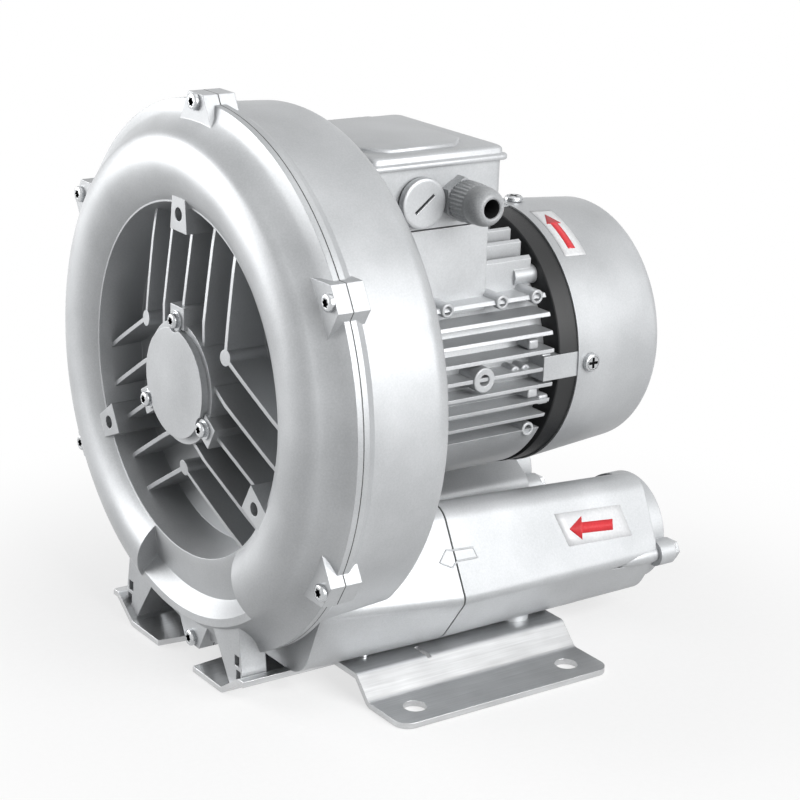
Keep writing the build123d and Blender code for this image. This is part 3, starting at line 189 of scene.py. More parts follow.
def grained_metal(name, dark, light, grain, depth, rough_low, rough_high):
    """Bare metal whose tool or roll marks run across the axis where grain, in mm, is smallest.

    The eye gets long fine streaks that stretch each highlight.
    """
    made, tree, place, shader = finish_of(name)
    squeezed = add(
        tree,
        "ShaderNodeMapping",
        {"Vector": place, "Scale": [per_metre(size) for size in grain]},
    )
    marks = add(tree, "ShaderNodeTexNoise", {"Vector": squeezed.outputs[0], "Scale": 1.0, "Detail": 3.0})
    cloud = add(tree, "ShaderNodeTexNoise", {"Vector": place, "Scale": per_metre(25), "Detail": 3.0})
    share = add(
        tree,
        "ShaderNodeMath",
        {0: marks.outputs[0], 1: cloud.outputs[0]},
        operation="ADD",
    )
    even = add(
        tree,
        "ShaderNodeMapRange",
        {"Value": share.outputs[0], "From Min": 0.6, "From Max": 1.4},
    )
    rough = add(
        tree,
        "ShaderNodeMapRange",
        {"Value": even.outputs[0], "To Min": rough_low, "To Max": rough_high},
    )
    soft_edge = add(tree, "ShaderNodeBevel", {"Radius": 0.3 * MM}, samples=6)
    bump = add(
        tree,
        "ShaderNodeBump",
        {
            "Strength": 0.4, "Distance": depth * MM, "Height": marks.outputs[0],
            "Normal": soft_edge.outputs[0],
        },
    )
    shader.inputs["Metallic"].default_value = 1.0
    colour = two_tones(tree, even.outputs[0], dark, light)
    feed(tree, shader, colour, rough.outputs[0], bump.outputs[0])
    return made


def moulded(name, dark, light, grain, depth, rough_low, rough_high):
    """Plastic, rubber, powder coat or foam: a dull colour with an even grain of the given size in mm.

    The eye gets a matt surface that breaks highlights into small specks.
    """
    made, tree, place, shader = finish_of(name)
    pores = add(tree, "ShaderNodeTexNoise", {"Vector": place, "Scale": per_metre(grain), "Detail": 2.0})
    cloud = add(tree, "ShaderNodeTexNoise", {"Vector": place, "Scale": per_metre(20), "Detail": 2.0})
    share = add(
        tree,
        "ShaderNodeMath",
        {0: pores.outputs[0], 1: cloud.outputs[0]},
        operation="MULTIPLY",
    )
    even = add(
        tree,
        "ShaderNodeMapRange",
        {"Value": share.outputs[0], "From Min": 0.12, "From Max": 0.4},
    )
    rough = add(
        tree,
        "ShaderNodeMapRange",
        {
            "Value": pores.outputs[0], "From Min": 0.3, "From Max": 0.7, "To Min": rough_low,
            "To Max": rough_high,
        },
    )
    bump = add(
        tree,
        "ShaderNodeBump",
        {"Strength": 0.5, "Distance": depth * MM, "Height": pores.outputs[0]},
    )
    colour = two_tones(tree, even.outputs[0], dark, light)
    feed(tree, shader, colour, rough.outputs[0], bump.outputs[0])
    return made


SILVER_PAINT = sprayed_casting("silver_paint_on_die_casting", "#a2a4a6", "#bbbdbf", 0.5, 0.4, 0.48)
# Cover paint with painted shade laid in its round recess, darker towards the floor.
COVER_PAINT_AND_SHADE = sprayed_casting("silver_paint_with_painted_bowl_shade", "#a2a4a6", "#bbbdbf", 0.5, 0.4, 0.48, "#9a9c9e")
FIN_PAINT = sprayed_casting("silver_paint_on_finned_casting", "#a9abad", "#c3c5c7", 0.4, 0.33, 0.43)
BARE_CASTING = sprayed_casting("bare_die_cast_aluminium", "#8f9193", "#adafb1", 1.0, 0.38, 0.52)
BLACK_COAT = moulded("black_powder_coat", "#0b0c0d", "#17181a", 0.7, 0.06, 0.42, 0.56)
FOOT_STEEL = grained_metal(
    "rolled_and_lacquered_steel", "#b6b7b8", "#d0d1d2", (0.8, 30, 0.8), 0.02, 0.28, 0.4
)
ZINC_PLATE = grained_metal("zinc_plated_steel", "#aeb0b2", "#cdcfd1", (1.5, 1.5, 1.5), 0.02, 0.2, 0.32)
TURNED_STEEL = grained_metal("turned_steel", "#8e9093", "#b0b2b5", (30, 0.5, 30), 0.03, 0.2, 0.34)
SHEET_STACK = grained_metal("stacked_electrical_sheet", "#4c4e52", "#85878b", (40, 0.9, 40), 0.15, 0.35, 0.5)
COPPER_WIRE = grained_metal("enamelled_copper_wire", "#6e2f12", "#b5622b", (1.2, 12, 1.2), 0.2, 0.22, 0.35)
BRASS = grained_metal("turned_brass", "#a9853a", "#d0ad5c", (0.6, 8, 8), 0.02, 0.22, 0.34)
NITRILE = moulded("moulded_nitrile_rubber", "#0f0f10", "#1d1d1e", 0.8, 0.05, 0.5, 0.65)
GASKET_FIBRE = moulded("pressed_gasket_fibre", "#2c2d2d", "#565756", 0.9, 0.08, 0.7, 0.85)
FOAM = moulded("open_cell_foam", "#1d1e20", "#4a4c4e", 2.2, 1.2, 0.85, 0.95)
FAN_NYLON = moulded("moulded_black_nylon", "#17181a", "#26282a", 0.9, 0.03, 0.36, 0.48)
GLAND_NYLON = moulded("moulded_grey_nylon", "#8c8e90", "#abadaf", 0.9, 0.03, 0.3, 0.4)
BOARD = moulded("pressed_phenolic_board", "#3c2415", "#5d3b24", 1.5, 0.04, 0.4, 0.55)
LABEL_FILM = moulded("printed_white_label_film", "#cbccce", "#dbdcdd", 1.4, 0.01, 0.28, 0.36)
# Painted shade: a near-black finish laid in screw drives, the plug's slot and the floors of the bosses'
# bores, where only shade falls.
DRIVE_SHADE = grained_metal(
    "painted_shade_in_drives_and_bores", "#1b1b1c", "#303132", (1.5, 1.5, 1.5), 0.02, 0.4, 0.5
)
RED_INK = moulded("screen_printed_red_ink", "#c01f28", "#d8303a", 1.0, 0.01, 0.3, 0.4)

FINISHES = {
    COVER_PAINT_AND_SHADE: ("impeller_cover",),
    SILVER_PAINT: (
        "rear_casing", "bearing_cap", "fan_cowl", "terminal_box", "terminal_lid",
        "blanking_plug", "inlet_silencer", "outlet_silencer", "inlet_port_flange", "outlet_port_flange",
    ),
    FIN_PAINT: ("motor_frame",),
    BARE_CASTING: ("impeller",),
    BLACK_COAT: ("end_shield",),
    FOOT_STEEL: ("base_plate",),
    ZINC_PLATE: (
        "base_screws", "cap_screws", "cap_washers", "casing_screws", "cowl_screws", "frame_screws",
        "shield_screws", "inlet_tie_bolts", "outlet_tie_bolts",
    ),
    TURNED_STEEL: (
        "shaft", "impeller_key", "impeller_nut", "wave_spring", "front_bearing_balls",
        "front_bearing_inner_ring", "front_bearing_outer_ring", "rear_bearing_balls",
        "rear_bearing_inner_ring", "rear_bearing_outer_ring",
    ),
    SHEET_STACK: ("rotor_core", "stator_core"),
    COPPER_WIRE: ("stator_windings",),
    BRASS: ("terminal_studs", "terminal_nuts"),
    NITRILE: ("plug_o_ring", "gland_seal", "shaft_seal", "lid_gasket", "pedestal_gasket"),
    GASKET_FIBRE: ("casing_gasket", "inlet_silencer_gasket", "outlet_silencer_gasket"),
    FOAM: ("inlet_foam_sleeve", "outlet_foam_sleeve"),
    FAN_NYLON: ("cooling_fan",),
    GLAND_NYLON: ("cable_gland_body", "gland_nut"),
    BOARD: ("terminal_board",),
}


def dress(node, finish):
    """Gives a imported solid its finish, and smooth shading over the edges of its curved faces."""
    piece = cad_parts[node]
    piece.data.materials.clear()
    piece.data.materials.append(finish)
    piece.data.polygons.foreach_set("use_smooth", np.ones(len(piece.data.polygons), bool))
    weld = piece.modifiers.new("weld", "WELD")
    weld.merge_threshold = 0.002 * MM
    split = piece.modifiers.new("crease", "EDGE_SPLIT")
    split.split_angle = np.radians(28)


for material, names in FINISHES.items():
    for name in names:
        dress(name, material)


# Surfaces


def skin(name, grids, finish, caps=True, wrap=True, dark=None, body="housing", crease=35):
    """Puts grids of points, rows by columns, into one mesh of four-sided faces.

    wrap closes each grid round its columns, and caps fills its first and last rows. dark is a second finish,
    rubber on the gland and painted shade in drives and bores, and the row from which it is used. Edges
    sharper than crease, in degrees, stay sharp, and 0 rounds all.
    """
    points = []
    faces = []
    shade = []
    for grid in grids:
        start = sum(len(block) for block in points)
        rows, columns = grid.shape[:2]
        number = start + np.arange(rows * columns).reshape(rows, columns)
        if wrap:
            number = np.hstack([number, number[:, :1]])
        quads = np.stack([number[:-1, :-1], number[:-1, 1:], number[1:, 1:], number[1:, :-1]], axis=-1)
        faces += quads.reshape(-1, 4).tolist()
        shade += [row // quads.shape[1] for row in range(quads.shape[0] * quads.shape[1])]
        if caps:
            faces += [number[0, -2::-1].tolist(), number[-1, :-1].tolist()]
            shade += [0, rows]
        points.append(grid.reshape(-1, 3))
    mesh = bpy.data.meshes.new(name)
    mesh.from_pydata(np.vstack(points), [], faces)
    mesh.polygons.foreach_set("use_smooth", np.ones(len(faces), bool))
    mesh.materials.append(finish)
    if dark:
        mesh.materials.append(dark[0])
        mesh.polygons.foreach_set("material_index", (np.array(shade) >= dark[1]).astype(np.int32))
    mesh.update()
    solid = bmesh.new()
    solid.from_mesh(mesh)
    bmesh.ops.recalc_face_normals(solid, faces=solid.faces)
    solid.to_mesh(mesh)
    solid.free()
    piece = bpy.data.objects.new(name, mesh)
    bpy.context.scene.collection.objects.link(piece)
    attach(piece, body)
    if crease:
        split = piece.modifiers.new("crease", "EDGE_SPLIT")
        split.split_angle = np.radians(crease)
    return piece


def turned(spot, way, stations, lobes=np.ones_like, columns=48):
    """Grid turned about an axis: x = spot + way h + r (1 + k (lobes(t) - 1)) (cos t, sin t).

    Each station is (r, h, k) in mm: k blends from a round ring to one that follows the lobes.
    """
    way = np.array(way, float)
    side = np.cross(way, (0, 0, 1) if abs(way[2]) < 0.9 else (1, 0, 0))
    side /= np.linalg.norm(side)
    over = np.cross(way, side)
    t = np.arange(columns) * 2 * np.pi / columns
    r, h, k = (np.array(column)[:, None] * unit for column, unit in zip(zip(*stations), (MM, MM, 1)))
    reach = r * (1 + k * (lobes(t) - 1))
    grid = reach[..., None] * (np.cos(t)[:, None] * side + np.sin(t)[:, None] * over)
    return np.array(spot) + grid + h[..., None] * way


STAR_DEPTH = 0.17
CROSS_ARM = 0.26  # half width of an arm over its length
FRONT = (0, -1, 0)


def star(t):
    """Six round lobes of a star drive: 1 + 0.17 cos 6t."""
    return 1 + STAR_DEPTH * np.cos(6 * t)


def cross(t):
    """Cross drive, the outer edge of two crossed bars: the larger of min(1/c, k/s) and min(1/s, k/c)."""
    c, s = np.abs(np.cos(t)) + 1e-9, np.abs(np.sin(t)) + 1e-9
    return np.maximum(np.minimum(1 / c, CROSS_ARM / s), np.minimum(1 / s, CROSS_ARM / c))


def polar(radius, angle, y):
    """Point at a radius in metres and an angle in degrees about the shaft."""
    turn = np.radians(angle)
    return np.array([radius * np.cos(turn), y, SHAFT_H + radius * np.sin(turn)])


def pan_head(radius, height, drive, shank, length):
    """Stations of a pan-head screw, from the tip of its shank to the floor of its drive."""
    return [
        (shank, -length, 0), (shank, 0, 0), (radius, 0, 0), (radius, 0.5 * height, 0),
        (0.96 * radius, 0.75 * height, 0), (0.85 * radius, 0.93 * height, 0), (0.7 * radius, height, 0),
        (1.25 * drive, height, 0), (drive, height, 1), (0.94 * drive, 0.35 * height, 1),
    ]


DRIVE_ROW = 8  # station of pan_head where the drive begins
JOINT_HEAD = 2.6  # heights of the three heads
CAP_HEAD = 2.8
COWL_HEAD = 2.6
JOINT_SCREW_R = 138.2 * MM
CAP_SCREW_R = 31.8 * MM
COWL_SCREW_Y = 86.4 * MM

# The drives of the screw heads are lined with painted shade from DRIVE_ROW on.
joint_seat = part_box("casing_screws")[0][1] + JOINT_HEAD * MM
skin(
    "casing_screw_heads",
    [
        turned(
            polar(JOINT_SCREW_R, angle, joint_seat), FRONT, pan_head(4.3, JOINT_HEAD, 2.0, 2.45, 14), star
        )
        for angle in range(30, 390, 60)
    ],
    ZINC_PLATE, dark=(DRIVE_SHADE, DRIVE_ROW),
)
cap_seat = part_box("cap_screws")[0][1] + CAP_HEAD * MM
skin(
    "cap_screw_heads",
    [
        turned(polar(CAP_SCREW_R, angle, cap_seat), FRONT, pan_head(3.8, CAP_HEAD, 1.8, 1.95, 10), star)
        for angle in (90, 210, 330)
    ],
    ZINC_PLATE, dark=(DRIVE_SHADE, DRIVE_ROW),
)
cowl_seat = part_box("cowl_screws")[1][0] - COWL_HEAD * MM
skin(
    "cowl_screw_heads",
    [
        turned(
            polar(cowl_seat, angle, COWL_SCREW_Y), (np.cos(np.radians(angle)), 0, np.sin(np.radians(angle))),
            pan_head(4.9, COWL_HEAD, 2.9, 1.95, 12), cross, 96,
        )
        for angle in (0, 90, 180, 270)
    ],
    ZINC_PLATE, dark=(DRIVE_SHADE, DRIVE_ROW),
)
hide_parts("casing_screws")
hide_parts("cap_screws")
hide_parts("cowl_screws")


def ridges(t):
    """Thirty grip ridges of a nut: 1 + 0.035 cos 30t."""
    return 1 + 0.035 * np.cos(30 * t)


ENTRY_H = SHAFT_H + 90 * MM  # the two cable entries of the terminal box
RIGHT = (1, 0, 0)
gland_spot = (56 * MM, 11.5 * MM, ENTRY_H)
gland = skin(
    "gland_dome_nut",
    [
        turned(
            gland_spot, RIGHT,
            [
                (9.2, 0, 0), (9.9, 0.5, 1), (9.9, 10.2, 1), (9.5, 10.8, 0), (9.4, 11.8, 0),
                (9.75, 12.6, 0), (9.75, 16.5, 0), (9.45, 18.6, 0), (8.8, 20.4, 0), (7.8, 21.8, 0),
                (6.6, 22.7, 0), (5.6, 22.9, 0), (5.0, 22.6, 0), (4.7, 22, 0), (4.7, 12, 0),
            ],
            ridges, 180,
        )
    ],
    GLAND_NYLON, dark=(NITRILE, 13), crease=50,
)
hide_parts("gland_nut")


# Labels and cast marks

DUCT_END = -9.6  # y in mm where the duct meets the silencer
BODY_LONG = 132
DUCT_LONG = 81.4
COWL_R = 71
COWL_FALL = 4.6  # how much narrower the cowl ends
COWL_FRONT = 78.4
COWL_LONG = 60.3
LABEL_LIFT = 0.1
ARROW_LIFT = 0.2
LABEL_THICK = 0.12
ARROW_THICK = 0.1


def silencer_face(y, z, lift=0.0):
    """Point on the slanted upper face of the inlet silencer or its duct at (y, z) in mm, lifted off it.

    The face joins an upper corner line to an outer one: x = x0 + (x1 - x0) (z0 - z) / (z0 - z1), where
    (x0, z0) and (x1, z1) slide evenly along the body.
    """
    back = np.clip((y - DUCT_END) / BODY_LONG, 0, 1)
    ahead = np.clip((DUCT_END - y) / DUCT_LONG, 0, 1)
    x0, z0 = 73.7, 92.8 - 7.3 * back
    x1 = 99.9 - 5.5 * back - 6 * ahead
    z1 = 45 - 2.7 * back + 8 * ahead
    x = x0 + (x1 - x0) * (z0 - z) / (z0 - z1)
    out = np.stack([z0 - z1, np.zeros_like(y), x1 - x0], axis=-1)
    out /= np.linalg.norm(out, axis=-1, keepdims=True)
    return (np.stack([x, y, z], axis=-1) + lift * out) * MM


def arrow(length, head, half_head, half_shaft, stations=12):
    """Arrow outline as (distance from its tip, half width): a triangle of the head, then an even shaft."""
    tip = np.linspace(0.02, 1, stations)
    shaft = np.linspace(head + 0.002 * length, length, 2 * stations)
    return np.vstack([
        np.column_stack([head * tip, half_head * tip]),
        np.column_stack([shaft, np.full(2 * stations, half_shaft)]),
    ])


def thick(piece, size):
    """Gives a sheet its thickness in mm, half of it on each side of its grid."""
    made = piece.modifiers.new("thickness", "SOLIDIFY")
    made.thickness = size * MM
    made.offset = 0


def printed(name, grid, finish, size):
    """Label or arrow of the given thickness, laid on the surface that its grid follows."""
    thick(skin(name, [grid], finish, False, False, crease=0), size)


rows, columns = np.meshgrid(np.linspace(0, 1, 9), np.linspace(0, 1, 5), indexing="ij")
label_y = (59 + 4.6 * columns) * (1 - rows) + (103.4 + 3.9 * columns) * rows
label_z = (72.8 - 16.2 * columns) * (1 - rows) + (69.6 - 15.6 * columns) * rows
printed("silencer_label", silencer_face(label_y, label_z, LABEL_LIFT), LABEL_FILM, LABEL_THICK)
steps = arrow(29.5, 8.4, 5.6, 2.6)
ahead = np.array([0.995, -0.098])
across = np.array([0.26, 0.965])
along = steps[:, :1, None].swapaxes(1, 2) * ahead
wide = np.array([-1, 1])[None, :, None] * (steps[:, 1:, None] * across)
place = (66.3, 64.3) + along + wide
printed("silencer_arrow", silencer_face(place[..., 0], place[..., 1], ARROW_LIFT), RED_INK, ARROW_THICK)


def cowl_face(angle, y, lift=0.0):
    """Point on the tapered cowl at an angle in degrees and y in mm: its radius falls evenly along it."""
    radius = COWL_R - COWL_FALL * (y - COWL_FRONT) / COWL_LONG + lift
    turn = np.radians(angle)
    return np.stack([radius * np.cos(turn), y, SHAFT_H / MM + radius * np.sin(turn)], axis=-1) * MM


rows, columns = np.meshgrid(np.linspace(0, 1, 25), np.linspace(0, 1, 5), indexing="ij")
label = cowl_face(46.5 + 29.5 * rows, 83.9 + 14.5 * columns, LABEL_LIFT)
printed("cowl_label", label, LABEL_FILM, LABEL_THICK)
steps = arrow(1, 0.32, 1, 0.5)
angles = 72.6 - 22.3 * steps[:, :1] + 0 * steps[:, 1:]
printed("cowl_arrow", cowl_face(angles, 91 + 4.9 * steps[:, 1:] * [-1, 1], ARROW_LIFT), RED_INK, ARROW_THICK)


def bead(corners, width, height, closed=True, sides=5):
    """Raised line along a path of points on the silencer's face: a half round carried along it.

    Each ring is q + width/2 cos a n + height sin a up, with n across the path and a from 0 to half a turn.
    """
    corners = np.array(corners, float)
    steps = []
    for first, last in zip(corners, np.roll(corners, -1, axis=0) if closed else corners[1:]):
        count = max(2, int(np.linalg.norm(last - first)))
        steps += [first + (last - first) * k / count for k in range(count)]
    path = np.array(steps)
    ahead = np.roll(path, -1, axis=0) - np.roll(path, 1, axis=0)
    ahead /= np.linalg.norm(ahead, axis=1, keepdims=True)
    across = np.stack([-ahead[:, 1], ahead[:, 0]], axis=1)
    turn = np.linspace(0, np.pi, sides)
    spread = path[:, None] + width / 2 * np.cos(turn)[None, :, None] * across[:, None]
    low = silencer_face(spread[..., 0], spread[..., 1], -0.3)
    high = silencer_face(spread[..., 0], spread[..., 1], height)
    ring = low + (high - low) * np.sin(turn)[None, :, None]
    return np.concatenate([ring, ring[:1]]) if closed else ring


CAST_ARROW = (
    (-18.7, 64.2), (-13.4, 68.9), (-9.5, 68.3), (3.2, 67.3), (4.6, 62.5), (-8.6, 63.2), (-12.2, 60.9),
)
skin(
    "silencer_cast_arrow", [bead(CAST_ARROW, 1.0, 0.5)], SILVER_PAINT, caps=False, crease=0,
)


# Bosses between the fins


def tube(x_from, x_to, y, z, outer, inner):
    """Short cast tube that points to +X, with a drilled bore."""
    long = x_to - x_from
    return turned(
        (x_from * MM, y * MM, SHAFT_H + z * MM), RIGHT,
        [
            (outer, 0, 0), (outer, long - 0.5, 0), (outer - 0.5, long, 0), (inner + 0.1, long, 0),
            (inner, long - 0.2, 0), (inner, long - 8, 0),
        ],
    )


# The floor of each boss's bore gets painted shade, a near-black finish where only shade falls.
skin(
    "frame_bosses",
    [
        tube(44, 61, 0.9, 36, 3.8, 2.2),
        tube(44, 61, 34.9, 36, 3.8, 2.2),
        tube(44, 61, 57.0, 36, 3.8, 2.2),
        tube(54, 70.5, 18.4, 0, 6.5, 3.0),
        tube(54, 66, 41.4, 0, 2.8, 1.2),
        tube(54, 66, 47.9, 0, 2.8, 1.2),
        tube(54, 66, -4.6, 0, 3.0, 1.4),
        tube(44, 60, 56.4, -35, 3.8, 2.2),
    ],
    FIN_PAINT, dark=(DRIVE_SHADE, 5),
)


def rounded(half_a, half_b, corner, arc=5):
    """Rectangle with round corners, or with cut ones where an arc has two points: (a, b) rows in mm."""
    t = np.linspace(0, np.pi / 2, arc)
    quarter = np.stack([np.cos(t), np.sin(t)], axis=1)
    parts = []
    for turn, (a, b) in enumerate(((1, 1), (-1, 1), (-1, -1), (1, -1))):
        c, s = np.cos(turn * np.pi / 2), np.sin(turn * np.pi / 2)
        parts.append(corner * quarter @ [[c, s], [-s, c]] + [a * (half_a - corner), b * (half_b - corner)])
    return np.vstack(parts)


def block(low, high, soft=0.8):
    """Small cast block with rounded edges, four rings of a rounded rectangle stacked along +X."""
    low, high = np.array(low, float), np.array(high, float)
    middle = (low + high) / 2 + [0, 0, SHAFT_H / MM]
    rings = []
    for x, shrink in ((low[0], 0), (high[0] - soft, 0), (high[0] - 0.3 * soft, 0.3 * soft), (high[0], soft)):
        half = (high[1:] - low[1:]) / 2 - shrink
        outline = rounded(half[0], half[1], soft)
        rings.append(np.column_stack([np.full(len(outline), x), outline + middle[1:]]))
    return np.array(rings) * MM


skin(
    "frame_blocks",
    [
        block((54, 49, 10.5), (66.5, 55, 15.5)),
        block((54, 57, 2.5), (67.5, 63, 7.5)),
        block((54, 50, -15.5), (66.5, 56, -10.5)),
        block((54, 58, -20.5), (65.5, 64, -15.5)),
    ],
    FIN_PAINT, crease=50,
)


# Terminal box lid and plug


def stack(middle, layers):
    """Rings of rounded rectangles stacked upwards. A layer is half x, half y, corner, arc points, height."""
    return np.array([
        np.column_stack([rounded(half_x, half_y, corner, arc) + middle, np.full(4 * arc, height)])
        for half_x, half_y, corner, arc, height in layers
    ]) * MM


LID_MIDDLE = (4, 0)
PANEL_MIDDLE = (4, -5)
lid = skin(
    "pressed_lid",
    [
        stack(
            LID_MIDDLE,
            [
                (47.5, 40.5, 4, 6, 254.9), (48.3, 41.4, 4.4, 6, 255.0), (48.6, 41.7, 4.6, 6, 255.6),
                (48.6, 41.7, 4.6, 6, 257.0), (48.2, 41.3, 4.4, 6, 257.6), (47.0, 40.2, 4, 6, 257.9),
                (46.6, 39.8, 4, 6, 258.3), (46.5, 39.6, 4, 6, 260.0), (46.1, 39.2, 4, 6, 260.9),
                (45.0, 38.1, 4, 6, 261.6), (43.0, 36.1, 4, 6, 261.9),
            ],
        ),
        stack(
            PANEL_MIDDLE,
            [
                (38.5, 30.5, 11, 2, 261.6), (38.5, 30.5, 11, 2, 262.9), (38.1, 30.1, 10.8, 2, 263.5),
                (37.4, 29.4, 10.6, 2, 263.7),
            ],
        ),
    ],
    SILVER_PAINT, crease=45,
)
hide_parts("terminal_lid")


def slotted_disc(spot, radius, edge, half_slot, half_long, lean):
    """Disc that faces +X with a screwdriver slot, as a grid whose rows run along the slot.

    A row at v reaches sqrt(r^2 - v^2) each way. Between the slot's sides and ends the surface drops, and
    lean is the slot's turn from level in degrees.
    """
    outer = np.linspace(-1, 1, 41)
    rest = np.sin(np.linspace(0.06, 1, 14) * np.pi / 2)
    sides = [-half_slot, -half_slot + 0.1, half_slot - 0.1, half_slot]
    v = np.unique(np.round(np.concatenate([-rest * radius, sides, rest * radius]), 3))
    v = v[np.abs(v) >= half_slot - 0.11]
    along = outer[None, :] * np.sqrt(np.clip(radius**2 - v[:, None] ** 2, 0, None))
    sunk = (np.abs(v)[:, None] < half_slot - 0.05) & (np.abs(along) < half_long)
    reach = np.hypot(v[:, None], along)
    height = edge * np.clip((reach - radius + 1.2) / 1.2, 0, 1) ** 2
    out = np.where(sunk, -1.6, -height)
    c, s = np.cos(np.radians(lean)), np.sin(np.radians(lean))
    grid = np.stack([out, along * c - v[:, None] * s, along * s + v[:, None] * c], axis=-1)
    return np.array(spot) + grid * MM


SLOT_LEAN = 38
plug_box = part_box("blanking_plug")
plug_spot = np.array([plug_box[1][0], -11.6 * MM, ENTRY_H])
plug_depth = (plug_box[1][0] - plug_box[0][0]) / MM
plug = skin(
    "plug_rim",
    [
        turned(
            plug_spot, RIGHT,
            [
                (9, -plug_depth, 0), (9, -4.5, 0), (12.4, -4.4, 0), (12.75, -4.0, 0), (12.75, -1.0, 0),
                (12.4, -0.35, 0), (12.3, -2.2, 0),
            ],
            columns=96,
        )
    ],
    SILVER_PAINT, crease=50,
)
skin(
    "plug_face", [slotted_disc(plug_spot, 12.42, 0.35, 0.75, 6.6, SLOT_LEAN)], SILVER_PAINT,
    caps=False, wrap=False,
)
lean_cos, lean_sin = np.cos(np.radians(SLOT_LEAN)), np.sin(np.radians(SLOT_LEAN))
# Painted shade: a dark strip laid inside the plug's slot, where only shade falls.
slot_floor = rounded(6.4, 0.6, 0.55) @ [[lean_cos, lean_sin], [-lean_sin, lean_cos]]
skin(
    "plug_slot_painted_shade",
    [np.array([
        plug_spot + np.column_stack([np.full(len(slot_floor), depth), slot_floor]) * MM
        for depth in (-1.7, -0.9)
    ])],
    DRIVE_SHADE,
)
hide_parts("blanking_plug")


# Rounded covers over the slots that the channels of the tie bolts cut through the silencers' outer walls
BOSS_STATIONS = [
    (4.6, 0, 0), (4.6, 8, 0), (4.3, 14, 0), (3.7, 20, 0), (2.8, 25, 0), (1.6, 28, 0), (0.4, 29.2, 0),
]
skin(
    "silencer_bolt_bosses",
    [turned((side * 90.4 * MM, 122.2 * MM, 41 * MM), FRONT, BOSS_STATIONS) for side in (1, -1)],
    SILVER_PAINT, crease=60,
)


# Camera and studio


def look():
    """Camera at the photograph's spot: aimed by its turn and dip, then rolled about its own line of sight."""
    turn, dip, roll = np.radians([CAMERA_TURN, CAMERA_DIP, CAMERA_ROLL])
    ahead = np.array([-np.sin(turn) * np.cos(dip), np.cos(turn) * np.cos(dip), -np.sin(dip)])
    side = np.array([np.cos(turn), np.sin(turn), 0])
    upright = np.cross(side, ahead)
    right = side * np.cos(roll) + upright * np.sin(roll)
    up = upright * np.cos(roll) - side * np.sin(roll)
    data = bpy.data.cameras.new("studio_camera")
    data.lens = LENS
    data.sensor_width = 36
    camera = bpy.data.objects.new("studio_camera", data)
    bpy.context.scene.collection.objects.link(camera)
    pose = np.eye(4)
    pose[:3, :3] = np.column_stack([right, up, -ahead])
    pose[:3, 3] = CAMERA_SPOT
    camera.matrix_world = Matrix(pose)
    bpy.context.scene.camera = camera


def softbox(name, spot, aim, width, height, watts):
    """Area lamp at a spot, turned to face a point."""
    data = bpy.data.lights.new(name, "AREA")
    data.shape = "RECTANGLE"
    data.size, data.size_y = width, height
    data.energy = watts
    lamp = bpy.data.objects.new(name, data)
    bpy.context.scene.collection.objects.link(lamp)
    back = np.array(spot, float) - np.array(aim, float)
    back /= np.linalg.norm(back)
    side = np.cross((0, 0, 1), back)
    side /= np.linalg.norm(side)
    pose = np.eye(4)
    pose[:3, :3] = np.column_stack([side, np.cross(back, side), back])
    pose[:3, 3] = spot
    lamp.matrix_world = Matrix(pose)


def looked_at(tree):
    """1 for the eye and for what mirrors or glass show it, 0 for light that only falls on things."""
    rays = add(tree, "ShaderNodeLightPath").outputs
    pair = {0: rays["Is Camera Ray"], 1: rays["Is Glossy Ray"]}
    either = add(tree, "ShaderNodeMath", pair, operation="MAXIMUM")
    three = {0: either.outputs[0], 1: rays["Is Transmission Ray"]}
    return add(tree, "ShaderNodeMath", three, operation="MAXIMUM").outputs[0]


def studio():
    """The air is white to the eye and in reflections, and dimmer as a lamp."""
    world = bpy.data.worlds.new("studio_air")
    world.use_nodes = True
    tree = world.node_tree
    tree.nodes.clear()
    level = add(tree, "ShaderNodeMapRange", {"Value": looked_at(tree), "To Min": 0.15, "To Max": 1.0})
    air = add(tree, "ShaderNodeBackground", {"Color": linear("#ffffff"), "Strength": level.outputs[0]})
    add(tree, "ShaderNodeOutputWorld", {"Surface": air.outputs[0]})
    bpy.context.scene.world = world


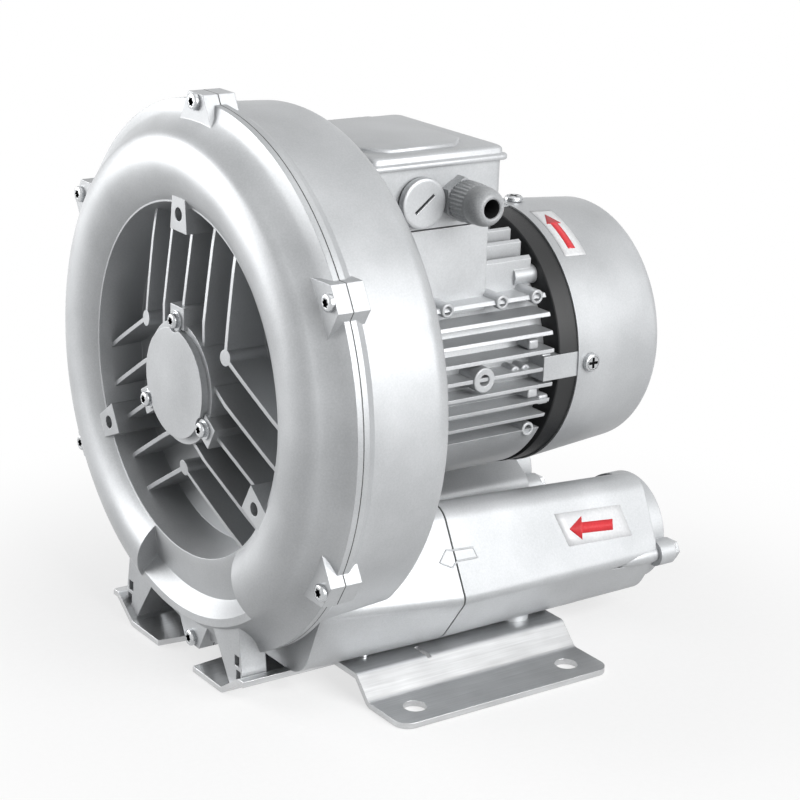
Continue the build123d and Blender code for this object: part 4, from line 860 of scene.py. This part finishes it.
def floor():
    """Sweep of grey-white paper: it takes the object's shadow near by, and further off is plain white."""
    made, tree, place, shader = finish_of("white_paper_sweep")
    weave = add(tree, "ShaderNodeTexNoise", {"Vector": place, "Scale": per_metre(3), "Detail": 2.0})
    shader.inputs["Roughness"].default_value = 0.9
    shader.inputs["Specular IOR Level"].default_value = 0.1
    feed(tree, shader, two_tones(tree, weave.outputs[0], "#8e8e8e", "#949494"))
    far = add(tree, "ShaderNodeVectorMath", {0: place, 1: (0.05, 0, 0)}, operation="DISTANCE")
    glow = add(
        tree,
        "ShaderNodeMapRange",
        {"Value": far.outputs["Value"], "From Min": 0.14, "From Max": 0.38},
        interpolation_type="SMOOTHSTEP",
    )
    seen = looked_at(tree)
    share = add(tree, "ShaderNodeMath", {0: glow.outputs[0], 1: seen}, operation="MULTIPLY")
    lift = add(tree, "ShaderNodeMath", {0: seen, 1: 0.66}, operation="MULTIPLY")
    near = add(tree, "ShaderNodeEmission", {"Color": linear("#ffffff"), "Strength": lift.outputs[0]})
    paper = add(tree, "ShaderNodeAddShader", {0: shader.outputs[0], 1: near.outputs[0]})
    white = add(tree, "ShaderNodeEmission", {"Color": linear("#ffffff"), "Strength": 1.0})
    both = add(tree, "ShaderNodeMixShader", {0: share.outputs[0], 1: paper.outputs[0], 2: white.outputs[0]})
    end = next(node for node in tree.nodes if node.type == "OUTPUT_MATERIAL")
    tree.links.new(both.outputs[0], end.inputs["Surface"])
    mesh = bpy.data.meshes.new("paper_sweep")
    corners = [(-4, -4, -0.0005), (4, -4, -0.0005), (4, 4, -0.0005), (-4, 4, -0.0005)]
    mesh.from_pydata(corners, [], [(0, 1, 2, 3)])
    mesh.materials.append(made)
    sweep = bpy.data.objects.new("paper_sweep", mesh)
    bpy.context.scene.collection.objects.link(sweep)


look()
studio()
floor()
MIDDLE = (0, 0, 0.15)  # where the lamps aim
softbox("key_box", (-1.5, -1.4, 0.6), MIDDLE, 1.6, 1.2, 44)
softbox("side_box", (1.8, 0.4, 0.95), MIDDLE, 1.6, 1.5, 55)
softbox("top_box", (0.1, 0.3, 1.9), MIDDLE, 1.2, 1.2, 3)

bpy.context.scene.view_settings.view_transform = "Standard"
